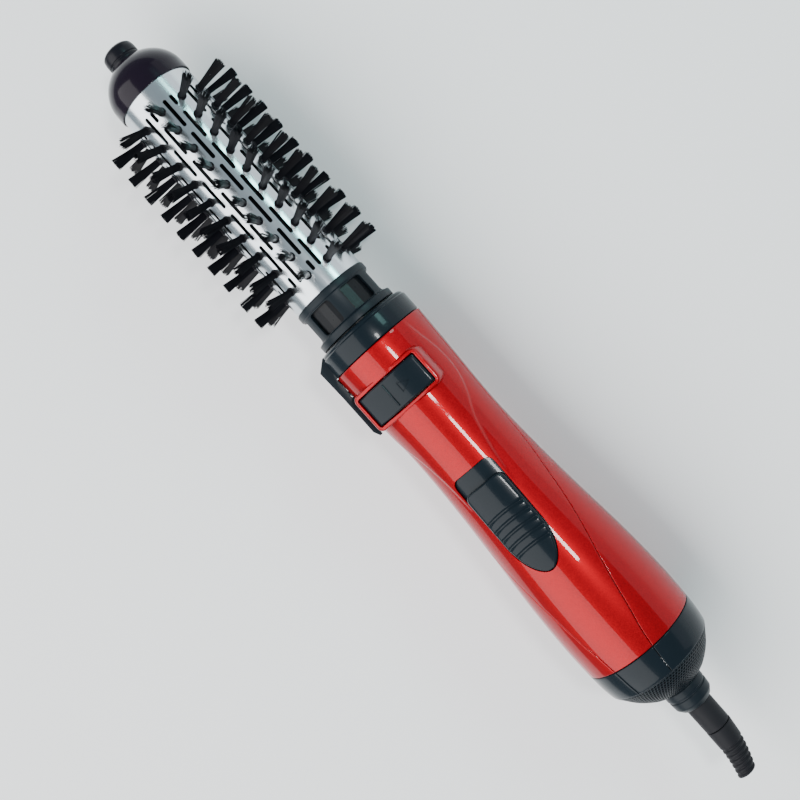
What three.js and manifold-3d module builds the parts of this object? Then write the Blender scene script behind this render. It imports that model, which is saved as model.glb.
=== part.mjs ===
// A rotating hot-air hair-styling brush, in millimetres, +Z up.
// X runs along the tool towards the cool tip, the buttons face +Z and the release lever is on +Y.
// Everything is modelled about the tool's own axis, at a "station": the distance behind the cool
// tip's end face. The last group lifts the tool so that its lowest bristles touch z = 0.

import * as THREE from "three";
import { mergeVertices } from "three/addons/utils/BufferGeometryUtils.js";
import Module from "manifold-3d";

// ---------------------------------------------------------------- driving dimensions

const GAP = 0.3; // between pieces that touch
const RUN = 0.4; // round a piece that moves
const SIDES = 24; // facets of a large turned piece
const SMALL_SIDES = 12;

// cool tip and end cap
const TIP_RADIUS = 7.6;
const TIP_EDGE = 2.7;
const TIP_LENGTH = 8.3;
const TIP_STEM_RADIUS = 3;
const CAP_FRONT = TIP_LENGTH + GAP;
const CAP_LENGTH = 18.1;
const CAP_END = CAP_FRONT + CAP_LENGTH;
const CAP_SHOULDER = CAP_END - 4.7; // where the dome turns straight
const CAP_OVERLAP = 4.1; // of the cap over the barrel
const CAP_FACE_RADIUS = 9.6;
const CAP_WALL = 2;

// barrel
const BARREL_RADIUS = 17.8;
const BARREL_WALL = 0.8;
const BARREL_LENGTH = 115.3;
const BARREL_START = CAP_END - CAP_OVERLAP;
const BARREL_END = BARREL_START + BARREL_LENGTH;
const CAP_RADIUS = BARREL_RADIUS + GAP + 0.4;

// bristles, in rows along the barrel
const ROWS = 10;
const BARREL_SIDES = 2 * ROWS; // one facet for each row and one for each pair of slot lines
const TUFTS_PER_ROW = 10;
const ROW_OFFSET = 45.4; // degrees from the front to the first row, towards -Y
const TUFT_START = CAP_END + 11.9;
const TUFT_END = BARREL_END - 8.85;
const TUFT_PITCH = (TUFT_END - TUFT_START) / (TUFTS_PER_ROW - 1);
const TUFT_LENGTH = 15.6; // outside the barrel
const TUFT_TIP_RADIUS = BARREL_RADIUS + TUFT_LENGTH;
const TUFT_ROOT = 1.5;
const TUFT_FLARE = 2.3;
const TUFT_SIDES = 4;
const RAIL_WIDTH = 5;
const RAIL_OVERHANG = 2.5; // past the first and last tufts
const RAIL_HEIGHT = 1.5;
const RAIL_CLEARANCE = GAP + 0.35; // under the barrel's flat-sided wall

// air slots, in two staggered lines between the rows
const SLOT_LENGTH = 14.3;
const SLOT_WIDTH = 1.7;
const SLOT_GAP = 3.5;
const SLOT_START = CAP_END + 8.6;
const SLOT_END = BARREL_END - 8.4;
const SLOT_LINE_ANGLE = 5.7; // each line of slots from the middle between two rows, degrees

// windowed collar behind the barrel
const COLLAR_START = BARREL_END + GAP;
const COLLAR_LENGTH = 19;
const COLLAR_END = COLLAR_START + COLLAR_LENGTH;
const COLLAR_RADIUS = BARREL_RADIUS;
const COLLAR_LIP_RADIUS = COLLAR_RADIUS + 0.5;
const COLLAR_LIP = 3;
const COLLAR_FLANGE_RADIUS = COLLAR_RADIUS + 1.7;
const COLLAR_FLANGE = 3.3;
const COLLAR_SPIGOT = 6;
const WINDOWS = 6;
const WINDOW_ANGLE = 41;
const WINDOW_OFFSET = 12; // degrees from the front to the middle of the first window, towards +Y
const WINDOW_MARGIN = 0.6;
const WINDOW_CORNER = 2;

// drive hub, its bush and gears
const GEAR_MODULE = 0.65;
const HUB_TEETH = 36;
const PINION_TEETH = 12;
const GEAR_WIDTH = 6;
const GEAR_SETBACK = 2.7; // behind the nose ring
const BACKLASH = 0.24;
const PINION_SHAFT_RADIUS = 1;
const DEDENDUM = 1.25; // tooth depth below the pitch circle, in modules
const HUB_WALL = 1.1; // under the teeth
const HUB_NECK_WALL = 2.1; // outside the teeth's root
const HUB_SLEEVE_DEPTH = 1.6; // sleeve under the outside of the collar
const HUB_ROOT = GEAR_MODULE * (HUB_TEETH / 2 - DEDENDUM);
const HUB_BORE = HUB_ROOT - HUB_WALL;
const HUB_NECK_RADIUS = HUB_ROOT + HUB_NECK_WALL;
const HUB_SLEEVE_RADIUS = BARREL_RADIUS - HUB_SLEEVE_DEPTH;
const HUB_SHOULDER = COLLAR_END + 0.5;
const HUB_SLEEVE_START = COLLAR_START + COLLAR_LIP; // the sleeve lies behind the windows
const BUSH_WALL = 2.2;

// handle, from the nose ring back
const HANDLE_LENGTH = 166.8;
const HANDLE_WALL = 2;
const FRONT_RADIUS = 23.5;
const WAIST_RADIUS = 21.8;
const GRIP_RADIUS = 27.4;
const NOSE_START = COLLAR_END + 0.8;
const NOSE_LENGTH = 10.9;
const NOSE_END = NOSE_START + NOSE_LENGTH;
const NOSE_RADIUS = FRONT_RADIUS - GAP;
const NOSE_CHAMFER = 0.9;
const HANDLE_START = NOSE_END + GAP;
const HANDLE_END = HANDLE_START + HANDLE_LENGTH;
const HANDLE_OUTLINE = [
  [0, FRONT_RADIUS],
  [0.124, FRONT_RADIUS - 0.6],
  [0.299, WAIST_RADIUS],
  [0.454, WAIST_RADIUS + 0.7],
  [0.61, GRIP_RADIUS - 3.2],
  [0.766, GRIP_RADIUS - 1],
  [0.904, GRIP_RADIUS],
  [1, GRIP_RADIUS - 0.2],
]; // [share of the handle's length, radius]
const SEAM_OUTLINE = [
  [-0.06, 0],
  [0.314, 0.02],
  [0.546, 0.406],
  [0.749, 0.752],
  [0.911, 0.89],
  [1, 0.93],
  [1.1, 0.93],
]; // the parting line: [share of the handle's length, height as a share of the radius there]

// rear cap, grille and cord swivel
const REAR_CAP_START = HANDLE_END + GAP;
const REAR_CAP_LENGTH = 13.2;
const REAR_CAP_END = REAR_CAP_START + REAR_CAP_LENGTH;
const REAR_CAP_RADIUS = GRIP_RADIUS - 1.5;
const REAR_CAP_WALL = 1.6;
const GRILLE_LENGTH = 14.2;
const GRILLE_END = REAR_CAP_END + GRILLE_LENGTH;
const GRILLE_WALL = 1.2;
const GRILLE_NOSE_RADIUS = 10.4;
const GRILLE_SLOTS = 16;
const GRILLE_SLOT_WIDTH = 1;
const SWIVEL_LENGTH = 10.5;
const SWIVEL_BODY_RADIUS = 9.7;
const SWIVEL_NECK_RADIUS = 7.2;
const SWIVEL_CHAMFER = 2;
const SWIVEL_FLANGE = 1.6;
const SWIVEL_END = GRILLE_END + GAP + SWIVEL_LENGTH;
const CORD_BORE = 3.4;
const NECK_RADIUS = 6.2;
const NECK_LENGTH = 13.2;
const NECK_END = SWIVEL_END + GAP + NECK_LENGTH;
const GUARD_LENGTH = 23.7;
const GUARD_END = NECK_END + GAP + GUARD_LENGTH;
const GUARD_PLAIN_RADIUS = NECK_RADIUS - 0.5;
const GUARD_TIP_RADIUS = 4.6;
const GUARD_PLAIN = 9; // smooth length before the ribs
const GUARD_RIBS = 6;
const GUARD_RIB_DEPTH = 0.7;
const GUARD_BEND = 4.2; // how far the guard's end leans towards +Y

// rocker and its raised frame; heights are above the axis
const ROCKER_STATION = HANDLE_START + 20.2;
const ROCKER_LENGTH = 14.1;
const ROCKER_WIDTH = 31.2;
const ROCKER_TOP = FRONT_RADIUS + 1.5;
const ROCKER_HEIGHT = 5.2;
const ROCKER_PIVOT = ROCKER_TOP - 3.5;
const ROCKER_HUB_RADIUS = 2.6;
const ROCKER_RIB = 2.3; // how far towards +Y the raised rib crosses
const ROCKER_RIB_HEIGHT = 0.5;
const ROCKER_PIN_RADIUS = 1;
const ROCKER_PIN_SEAT = 1.5; // of the pin in each side of the frame
const BEZEL_RIM = 1.8;
const BEZEL_TOP = ROCKER_TOP + 0.3;
const BEZEL_HEIGHT = 13.3;
const BEZEL_CORNER = 2.6;
const WELL = RUN + 0.1; // round the rocker

// slide switch
const SLIDE_START = ROCKER_STATION + 44.3;
const SLIDE_LENGTH = 53;
const SLIDE_WIDTH = 21.2;
const SLIDE_TAPER = 19; // length of the rounded point
const SLIDE_CORNER = 4;
const SLIDE_TRAVEL = 7.5;
const PLATE_DEPTH = 1;
const PLATE_THICKNESS = 1.6;
const KNOB_RISE = 1.9;
const KNOB_GROOVES = 5;
const KNOB_GROOVE_PITCH = 4.4;
const KNOB_GROOVE_WIDTH = 1.1;
const KNOB_GROOVE_DEPTH = 0.8;
const KNOB_GROOVE_START = 21.5; // from the switch's start to the first groove
const KNOB_START = SLIDE_START + SLIDE_TRAVEL + RUN;
const STEM_STATION = KNOB_START + SLIDE_TRAVEL + 4;
const STEM_LENGTH = 6;
const STEM_WIDTH = 4;

// release lever
const LEVER_ANGLE = 70; // degrees from the front towards +Y
const LEVER_WIDTH = 10;
const LEVER_START = NOSE_START + 0.2;
const LEVER_LENGTH = 40.8;
const LEVER_END = LEVER_START + LEVER_LENGTH;
const LEVER_NOSE = 4.3; // length of the slanted front
const LEVER_TOP = FRONT_RADIUS + 3.5;
const LEVER_CLEARANCE = 0.9;
const LEVER_HOOK_RADIUS = NOSE_RADIUS - 3.2;
const LEVER_HOOK = 2;
const LEVER_PIVOT_STATION = NOSE_END + 9.1;
const LEVER_PIN_RADIUS = 1;
const LEVER_RIB_WIDTH = 4.6;
const LEVER_SPRING_STATION = LEVER_END - 6;
const LEVER_SPRING_RADIUS = 1.4;
const LEVER_SPRING_CUP = 1.1; // depth of the spring's cup in the shell
const LEVER_SPRING_POCKET = 1.4; // depth of its pocket in the lever
const LEVER_TRAVEL = 0.9; // of the lever over the spring
const LEVER_SPRING_WIRE = 0.2;

// inside the handle
const BULKHEAD_START = NOSE_END + GEAR_SETBACK + GEAR_WIDTH + 2.4;
const BULKHEAD = 1.5;
const AIR_TUBE_START = CAP_END + 23.3;
const AIR_TUBE_WALL = 0.6;
const HEATER_START = AIR_TUBE_START + 10;
const HEATER_END = COLLAR_END - 7.2;
const MICA = 0.8;
const COIL_WIRE = 0.35;
const COIL_PITCH = 10;
const COIL_STEPS = 12; // straight lengths in a turn
const COIL_MARGIN = 8;
const MOTOR_RADIUS = 4.6;
const MOTOR_LENGTH = 16;
const MOTOR_NOSE = 2;
const CRADLE_LENGTH = 7;
const CRADLE_WALL = 1.4;
const BOARD_START = BULKHEAD_START + 4;
const BOARD_LENGTH = 80;
const BOARD_WIDTH = 22;
const BOARD_THICKNESS = 1.6;
const BOARD_HEIGHT = 5;
const SWITCH_BASE = BOARD_HEIGHT + BOARD_THICKNESS + GAP;
const SWITCH_TOP = WAIST_RADIUS - 7.8;
const SCREW_STATIONS = [HANDLE_START + 36.8, SLIDE_START + SLIDE_LENGTH + 6.3];
const BOSS_RADIUS = 3.8;
const SCREW_RADIUS = 1.2;
const SCREW_HEAD_RADIUS = 2.4;
const SCREW_HEAD = 1.8;
const SCREW_HEAD_HEIGHT = 4.8 - WAIST_RADIUS;
const SCREW_TIP_HEIGHT = 8;
const FAN_RADIUS = 19;
const FAN_LENGTH = 8;
const FAN_END = HANDLE_END - 5;
const FAN_START = FAN_END - FAN_LENGTH;
const FAN_HUB_RADIUS = 5;
const FAN_BLADES = 7;
const FAN_BLADE = 1.1;
const FAN_PITCH = 25; // degrees
const FAN_SHAFT_RADIUS = 1;
const FAN_MOTOR_END = FAN_START - 3;
const FAN_MOTOR_LENGTH = 22;
const FAN_MOTOR_START = FAN_MOTOR_END - FAN_MOTOR_LENGTH;
const FAN_MOTOR_RADIUS = 11;
const MOUNT_ARMS = 4;
const MOUNT_STATION = FAN_MOTOR_END - 14;
const MOUNT_THICKNESS = 5;
const MOUNT_RING = 2;
const FILTER_STATION = REAR_CAP_START + 4.7;
const FILTER_THICKNESS = 2;

// ---------------------------------------------------------------- colours

const finish = (color, roughness, metalness) =>
  new THREE.MeshStandardMaterial({ color, roughness, metalness });
const RED = finish(0xc4161c, 0.25, 0.35);
const BLACK_GLOSS = finish(0x10161c, 0.3, 0);
const BLACK = finish(0x16181b, 0.55, 0);
const NYLON = finish(0x0d0d10, 0.6, 0);
const ALUMINIUM = finish(0xcdd3d8, 0.25, 1);
const STEEL = finish(0xa9acb0, 0.35, 1);
const BRASS = finish(0xb08d3e, 0.35, 1);
const NATURAL = finish(0xd9d5c8, 0.6, 0);
const MICA_BROWN = finish(0xb59a6a, 0.7, 0);
const BOARD_GREEN = finish(0x1d5a35, 0.6, 0);
const DARK_RED = finish(0x6d1216, 0.8, 0);

// ---------------------------------------------------------------- solids

const wasm = await Module();
wasm.setup();

const rad = THREE.MathUtils.degToRad;

/** A closed three.js geometry as a solid that can be joined and cut. */
function solid(geometry) {
  const plain = geometry.clone();
  plain.deleteAttribute("normal");
  plain.deleteAttribute("uv");
  const merged = mergeVertices(plain, 1e-4);
  const vertProperties = new Float32Array(merged.attributes.position.array);
  const triVerts = new Uint32Array(merged.index.array);
  const made = new wasm.Manifold(new wasm.Mesh({ numProp: 3, vertProperties, triVerts }));
  return made.volume() < 0 ? turnedOut(merged) : made;
}

/** The same closed geometry with every face turned over. */
function turnedOut(merged) {
  const flipped = merged.clone();
  const index = flipped.index.array;
  for (let i = 0; i < index.length; i += 3) [index[i], index[i + 1]] = [index[i + 1], index[i]];
  const vertProperties = new Float32Array(flipped.attributes.position.array);
  const triVerts = new Uint32Array(index);
  return new wasm.Manifold(new wasm.Mesh({ numProp: 3, vertProperties, triVerts }));
}

/** A solid as a three.js geometry. */
function geometryOf(made) {
  const mesh = made.getMesh();
  const geometry = new THREE.BufferGeometry();
  geometry.setAttribute("position", new THREE.BufferAttribute(mesh.vertProperties, 3));
  geometry.setIndex(new THREE.BufferAttribute(mesh.triVerts, 1));
  return geometry;
}

/** A piece turned about the tool's axis from a closed outline of [station, radius]. */
function turned(outline, sides = SIDES) {
  const points = [...outline, outline[0]].map(([station, r]) => new THREE.Vector2(r, -station));
  return solid(new THREE.LatheGeometry(points, sides).rotateZ(-Math.PI / 2));
}

/** A ring between two radii and two stations; an inner radius of 0 gives a rod. */
const ring = (inner, outer, from, to, sides = SIDES) =>
  turned([[from, inner], [from, outer], [to, outer], [to, inner]], sides);

/** A rod across the axis, along Z, at a station. */
function post(radius, low, high, station, sides = SMALL_SIDES) {
  const rod = new THREE.CylinderGeometry(radius, radius, high - low, sides).rotateX(Math.PI / 2);
  return solid(rod.translate(-station, 0, (low + high) / 2));
}

/** A block between two stations, centred on y, between two heights. */
function block(from, to, width, low, high, y = 0) {
  const box = new THREE.BoxGeometry(to - from, width, high - low);
  return solid(box.translate(-(from + to) / 2, y, (low + high) / 2));
}

/** A flat outline drawn in [station, y], raised between two heights. */
function raised(shape, low, high) {
  const options = { depth: high - low, bevelEnabled: false, curveSegments: 4 };
  const body = new THREE.ExtrudeGeometry(shape, options);
  return solid(body.rotateX(Math.PI).rotateZ(Math.PI).translate(0, 0, high));
}

/** A flat outline drawn in [station, height], given a width across the tool. */
function slab(outline, width) {
  const shape = new THREE.Shape(outline.map(([station, z]) => new THREE.Vector2(-station, z)));
  const body = new THREE.ExtrudeGeometry(shape, { depth: width, bevelEnabled: false });
  return solid(body.rotateX(Math.PI / 2).translate(0, width / 2, 0));
}

/** A piece turned about the tool's axis from the front towards +Y, in degrees. */
const around = (made, degrees) => made.rotate([-degrees, 0, 0]);

/** The sum of several solids. */
const joined = (parts) => parts.reduce((whole, part) => whole.add(part));

// ---------------------------------------------------------------- outlines

/** Points along a smooth curve through pairs of values. */
function smooth(outline, steps) {
  const curve = new THREE.SplineCurve(outline.map((p) => new THREE.Vector2(...p)));
  return curve.getPoints(steps).map((p) => [p.x, p.y]);
}

const HANDLE_STEPS = 9;
const handleStation = (share) => HANDLE_START + share * HANDLE_LENGTH;
const handleLine = smooth(HANDLE_OUTLINE, HANDLE_STEPS).map(([t, r]) => [handleStation(t), r]);

/** The handle's radius at a station. */
function handleRadius(station) {
  const found = handleLine.findIndex(([s]) => s >= station);
  const after = found < 0 ? handleLine.length - 1 : Math.max(1, found);
  const [s0, r0] = handleLine[after - 1];
  const [s1, r1] = handleLine[after];
  return r0 + ((r1 - r0) * (station - s0)) / (s1 - s0);
}

/** A skin that follows the handle between two offsets from its surface. */
function handleBand(innerOffset, outerOffset) {
  const outer = handleLine.map(([s, r]) => [s, r + outerOffset]);
  const inner = handleLine.map(([s, r]) => [s, r + innerOffset]).reverse();
  return turned([...outer, ...inner]);
}

const SEAM_STEPS = 12;
const seamLine = smooth(SEAM_OUTLINE, SEAM_STEPS).map(([t, share]) => {
  const station = handleStation(t);
  return [station, share * handleRadius(Math.min(Math.max(station, HANDLE_START), HANDLE_END))];
});
const CUTTER_REACH = 60;
const LOW_CUT = 5; // height where cuts through the front of the handle begin

/** Everything on one side of the parting line: side is 1 above it and -1 below it. */
function besideSeam(side) {
  const line = seamLine.map(([s, z]) => [s, z + (side * GAP) / 2]);
  const far = side * CUTTER_REACH;
  const outline = [...line, [line.at(-1)[0], far], [line[0][0], far]];
  return slab(outline, 2 * CUTTER_REACH);
}

/** A rectangle with round corners in [station, y]. */
function roundedRectangle(from, to, width, corner) {
  const shape = new THREE.Shape();
  const half = width / 2;
  shape.moveTo(from + corner, -half);
  shape.lineTo(to - corner, -half);
  shape.quadraticCurveTo(to, -half, to, -half + corner);
  shape.lineTo(to, half - corner);
  shape.quadraticCurveTo(to, half, to - corner, half);
  shape.lineTo(from + corner, half);
  shape.quadraticCurveTo(from, half, from, half - corner);
  shape.lineTo(from, -half + corner);
  shape.quadraticCurveTo(from, -half, from + corner, -half);
  return shape;
}

/** The slide switch's outline: square with round corners at the head, a rounded point at the cord. */
function slideOutline(from, inset) {
  const half = SLIDE_WIDTH / 2 - inset;
  const end = SLIDE_START + SLIDE_LENGTH - inset;
  const waist = end - SLIDE_TAPER;
  const bow = SLIDE_TAPER * 0.6;
  const shape = new THREE.Shape();
  shape.moveTo(from + SLIDE_CORNER, -half);
  shape.lineTo(waist, -half);
  shape.bezierCurveTo(waist + bow, -half, end, -half * 0.45, end, 0);
  shape.bezierCurveTo(end, half * 0.45, waist + bow, half, waist, half);
  shape.lineTo(from + SLIDE_CORNER, half);
  shape.quadraticCurveTo(from, half, from, half - SLIDE_CORNER);
  shape.lineTo(from, -half + SLIDE_CORNER);
  shape.quadraticCurveTo(from, -half, from + SLIDE_CORNER, -half);
  return shape;
}

/** A helix of wire about the tool's axis. */
class Helix extends THREE.Curve {
  constructor(radius, from, to, turns) {
    super();
    Object.assign(this, { radius, from, to, turns });
  }
  getPoint(t, target = new THREE.Vector3()) {
    const angle = 2 * Math.PI * this.turns * t;
    const station = this.from + (this.to - this.from) * t;
    return target.set(-station, this.radius * Math.cos(angle), this.radius * Math.sin(angle));
  }
}

/** A wire of a few sides swept along a helix. */
function coil(helix, wire, stepsPerTurn, sides) {
  const section = new THREE.Shape();
  for (let i = 0; i < sides; i += 1) {
    const angle = (2 * Math.PI * i) / sides;
    const place = [wire * Math.cos(angle), wire * Math.sin(angle)];
    if (i === 0) section.moveTo(...place);
    else section.lineTo(...place);
  }
  const steps = Math.round(helix.turns * stepsPerTurn);
  return solid(new THREE.ExtrudeGeometry(section, { steps, extrudePath: helix, bevelEnabled: false }));
}

// ---------------------------------------------------------------- head

function coolTip() {
  const nose = [[0, 0], [0, TIP_RADIUS - TIP_EDGE]];
  for (const angle of [30, 60, 90]) {
    const along = TIP_EDGE * (1 - Math.cos(rad(angle)));
    nose.push([along, TIP_RADIUS - TIP_EDGE * (1 - Math.sin(rad(angle)))]);
  }
  const stemEnd = CAP_FRONT + CAP_WALL + GAP;
  const stem = [[TIP_LENGTH, TIP_RADIUS], [TIP_LENGTH, TIP_STEM_RADIUS], [stemEnd, TIP_STEM_RADIUS]];
  const screwHole = [[stemEnd, SCREW_RADIUS + GAP], [TIP_EDGE, SCREW_RADIUS + GAP], [TIP_EDGE, 0]];
  return turned([...nose, ...stem, ...screwHole], SMALL_SIDES);
}

function tipScrew() {
  const head = CAP_FRONT + CAP_WALL + 2 * GAP;
  const length = head - TIP_EDGE - GAP;
  const outline = [[head - length, 0], [head - length, SCREW_RADIUS], [head, SCREW_RADIUS]];
  const headRadius = TIP_STEM_RADIUS + 1.5;
  const top = [[head, headRadius], [head + SCREW_HEAD, headRadius], [head + SCREW_HEAD, 0]];
  return turned([...outline, ...top], SMALL_SIDES);
}

function endCap() {
  const outside = [[CAP_FRONT, TIP_STEM_RADIUS + RUN], [CAP_FRONT, CAP_FACE_RADIUS]];
  const inside = [];
  const first = Math.asin(CAP_FACE_RADIUS / CAP_RADIUS);
  const length = (CAP_SHOULDER - CAP_FRONT) / Math.cos(first);
  const steps = 5;
  for (let i = 1; i <= steps; i += 1) {
    const angle = first + ((Math.PI / 2 - first) * i) / steps;
    const station = CAP_SHOULDER - length * Math.cos(angle);
    outside.push([station, CAP_RADIUS * Math.sin(angle)]);
    inside.push([station + CAP_WALL, (CAP_RADIUS - CAP_WALL) * Math.sin(angle)]);
  }
  const skirt = [
    [CAP_END, CAP_RADIUS],
    [CAP_END, BARREL_RADIUS + GAP],
    [BARREL_START - GAP, BARREL_RADIUS + GAP],
    [BARREL_START - GAP, CAP_RADIUS - CAP_WALL],
  ];
  const back = inside.slice(0, -1).reverse();
  const faceBack = CAP_FRONT + CAP_WALL;
  const face = [[faceBack, CAP_FACE_RADIUS - CAP_WALL], [faceBack, TIP_STEM_RADIUS + RUN]];
  return turned([...outside, ...skirt, ...back, ...face]);
}

const rowAngle = (row) => -ROW_OFFSET + (360 * row) / ROWS;
const tuftStation = (i) => TUFT_START + i * TUFT_PITCH;

/** One line of slots, from the tip end, ending in a short slot; mirrored from the other end. */
function slotLine(mirrored) {
  const slots = [];
  for (let s = SLOT_START; s < SLOT_END; s += SLOT_LENGTH + SLOT_GAP) {
    const from = mirrored ? SLOT_START + SLOT_END - s : s;
    const far = mirrored ? from - SLOT_LENGTH : from + SLOT_LENGTH;
    const to = Math.min(Math.max(far, SLOT_START), SLOT_END);
    const [low, high] = [BARREL_RADIUS - 3 * BARREL_WALL, BARREL_RADIUS + BARREL_WALL];
    slots.push(block(Math.min(from, to), Math.max(from, to), SLOT_WIDTH, low, high));
  }
  return joined(slots);
}

function barrelTube() {
  const inner = BARREL_RADIUS - BARREL_WALL;
  const holes = [];
  for (let row = 0; row < ROWS; row += 1) {
    for (let i = 0; i < TUFTS_PER_ROW; i += 1) {
      const hole = post(TUFT_ROOT + GAP + 0.25, inner - 1, BARREL_RADIUS + 1, tuftStation(i), TUFT_SIDES);
      holes.push(around(hole, rowAngle(row)));
    }
    const middle = rowAngle(row) + 180 / ROWS;
    holes.push(around(slotLine(false), middle + SLOT_LINE_ANGLE));
    holes.push(around(slotLine(true), middle - SLOT_LINE_ANGLE));
  }
  const tube = ring(inner, BARREL_RADIUS, BARREL_START, BARREL_END, BARREL_SIDES);
  return around(tube, rowAngle(0) + 180 / BARREL_SIDES).subtract(joined(holes));
}

/** A rail inside the barrel with its tufts standing out through the barrel's holes. */
function bristleStrip() {
  const railTop = BARREL_RADIUS - BARREL_WALL - RAIL_CLEARANCE;
  const railBottom = railTop - RAIL_HEIGHT;
  const [from, to] = [TUFT_START - RAIL_OVERHANG, TUFT_END + RAIL_OVERHANG];
  const rail = block(from, to, RAIL_WIDTH, railBottom, railTop);
  const length = TUFT_TIP_RADIUS - railTop + RAIL_HEIGHT / 2;
  const tufts = [];
  for (let i = 0; i < TUFTS_PER_ROW; i += 1) {
    const tuft = new THREE.CylinderGeometry(TUFT_FLARE, TUFT_ROOT, length, TUFT_SIDES);
    tufts.push(solid(tuft.rotateX(Math.PI / 2).translate(-tuftStation(i), 0, TUFT_TIP_RADIUS - length / 2)));
  }
  return rail.add(joined(tufts));
}

function windowCollar() {
  const lipEnd = COLLAR_START + COLLAR_LIP;
  const flange = COLLAR_END - COLLAR_FLANGE;
  const spigot = BARREL_RADIUS - BARREL_WALL - GAP;
  const bore = spigot - BARREL_WALL;
  const socket = HUB_SLEEVE_RADIUS + GAP;
  const body = turned([
    [COLLAR_START - COLLAR_SPIGOT, bore],
    [COLLAR_START - COLLAR_SPIGOT, spigot],
    [COLLAR_START, spigot],
    [COLLAR_START, COLLAR_LIP_RADIUS],
    [lipEnd, COLLAR_LIP_RADIUS],
    [lipEnd + 0.4, COLLAR_RADIUS],
    [flange - 0.6, COLLAR_RADIUS],
    [flange, COLLAR_FLANGE_RADIUS],
    [COLLAR_END, COLLAR_FLANGE_RADIUS],
    [COLLAR_END, socket],
    [HUB_SLEEVE_START - GAP, socket],
    [HUB_SLEEVE_START - GAP, bore],
  ]);
  const width = 2 * COLLAR_RADIUS * Math.sin(rad(WINDOW_ANGLE / 2));
  const [from, to] = [lipEnd + WINDOW_MARGIN, flange - WINDOW_MARGIN];
  const windowShape = roundedRectangle(from, to, width, WINDOW_CORNER);
  const windows = [];
  for (let i = 0; i < WINDOWS; i += 1) {
    const opening = raised(windowShape, bore / 2, COLLAR_FLANGE_RADIUS + 1);
    windows.push(around(opening, WINDOW_OFFSET + (360 * i) / WINDOWS));
  }
  return body.subtract(joined(windows));
}

// ---------------------------------------------------------------- drive

/** A spur gear about the tool's axis, its teeth thinned by the backlash. */
function gear(teeth, from, to, bore, phase) {
  const pitch = (GEAR_MODULE * teeth) / 2;
  const root = pitch - DEDENDUM * GEAR_MODULE;
  const tip = pitch + 0.85 * GEAR_MODULE;
  const half = (Math.PI * GEAR_MODULE) / 4 - BACKLASH / 2;
  const shape = new THREE.Shape();
  for (let i = 0; i < teeth; i += 1) {
    const middle = (2 * Math.PI * (i + phase)) / teeth;
    const corners = [[root, -1.45 * half], [tip, -0.5 * half], [tip, 0.5 * half], [root, 1.45 * half]];
    for (const [r, arc] of corners) {
      const angle = middle + arc / pitch;
      const place = [r * Math.cos(angle), r * Math.sin(angle)];
      if (i === 0 && arc < -half) shape.moveTo(...place);
      else shape.lineTo(...place);
    }
  }
  const body = new THREE.ExtrudeGeometry(shape, { depth: to - from, bevelEnabled: false });
  const wheel = solid(body.rotateY(Math.PI / 2).translate(-to, 0, 0));
  return bore > 0 ? wheel.subtract(ring(0, bore, from - 1, to + 1)) : wheel;
}

const GEAR_START = NOSE_END + GEAR_SETBACK;
const GEAR_END = GEAR_START + GEAR_WIDTH;
const PINION_OFFSET = (GEAR_MODULE * (HUB_TEETH + PINION_TEETH)) / 2;

function driveHub() {
  const sleeve = ring(HUB_BORE, HUB_SLEEVE_RADIUS, HUB_SLEEVE_START, HUB_SHOULDER);
  const neckEnd = NOSE_END + GAP;
  const neck = ring(HUB_BORE, HUB_NECK_RADIUS, HUB_SHOULDER - 1, neckEnd);
  const quill = ring(HUB_BORE, HUB_ROOT - 0.1, neckEnd - 1, GEAR_START + 1);
  return joined([sleeve, neck, quill, gear(HUB_TEETH, GEAR_START, GEAR_END, HUB_BORE, 0)]);
}

const hubBush = () =>
  ring(HUB_NECK_RADIUS + GAP, HUB_NECK_RADIUS + GAP + BUSH_WALL, NOSE_START + GAP, NOSE_END - GAP);

/** The motor's pinion, modelled on the tool's axis and placed below the hub gear. */
function drivePinion() {
  const wheel = gear(PINION_TEETH, GEAR_START + GAP, GEAR_END - GAP, 0, 0.5);
  const shaft = ring(0, PINION_SHAFT_RADIUS, GEAR_END - 1, BULKHEAD_START + BULKHEAD + GAP, SMALL_SIDES);
  return wheel.add(shaft);
}

const MOTOR_START = BULKHEAD_START + BULKHEAD + 2 * GAP;

function gearMotor() {
  const from = MOTOR_START;
  const end = from + MOTOR_LENGTH;
  const nose = ring(0, MOTOR_RADIUS / 3, end - 1, end + MOTOR_NOSE, SMALL_SIDES);
  return ring(0, MOTOR_RADIUS, from, end).add(nose);
}

function noseRing() {
  const bore = HUB_NECK_RADIUS + 2 * GAP + BUSH_WALL;
  const body = turned([
    [NOSE_START, bore],
    [NOSE_START, NOSE_RADIUS - NOSE_CHAMFER],
    [NOSE_START + NOSE_CHAMFER, NOSE_RADIUS],
    [NOSE_END, NOSE_RADIUS],
    [NOSE_END, bore],
  ]);
  const floor = LEVER_HOOK_RADIUS - RUN - 0.4;
  const notch = block(NOSE_START - 1, NOSE_END + 1, LEVER_WIDTH + 2 * RUN, floor, NOSE_RADIUS + 2);
  return body.subtract(around(notch, LEVER_ANGLE));
}

// ---------------------------------------------------------------- handle shells

const ROCKER_FROM = ROCKER_STATION - ROCKER_LENGTH / 2;
const ROCKER_TO = ROCKER_STATION + ROCKER_LENGTH / 2;

/** The raised frame round the rocker, solid, before the rocker's well is cut. */
function rockerFrame() {
  const reach = BEZEL_RIM + WELL;
  const width = ROCKER_WIDTH + 2 * reach;
  const shape = roundedRectangle(ROCKER_FROM - reach, ROCKER_TO + reach, width, BEZEL_CORNER);
  return raised(shape, BEZEL_TOP - BEZEL_HEIGHT, BEZEL_TOP).subtract(
    ring(0, handleRadius(ROCKER_STATION) - HANDLE_WALL, ROCKER_FROM - 10, ROCKER_TO + 10)
  );
}

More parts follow.
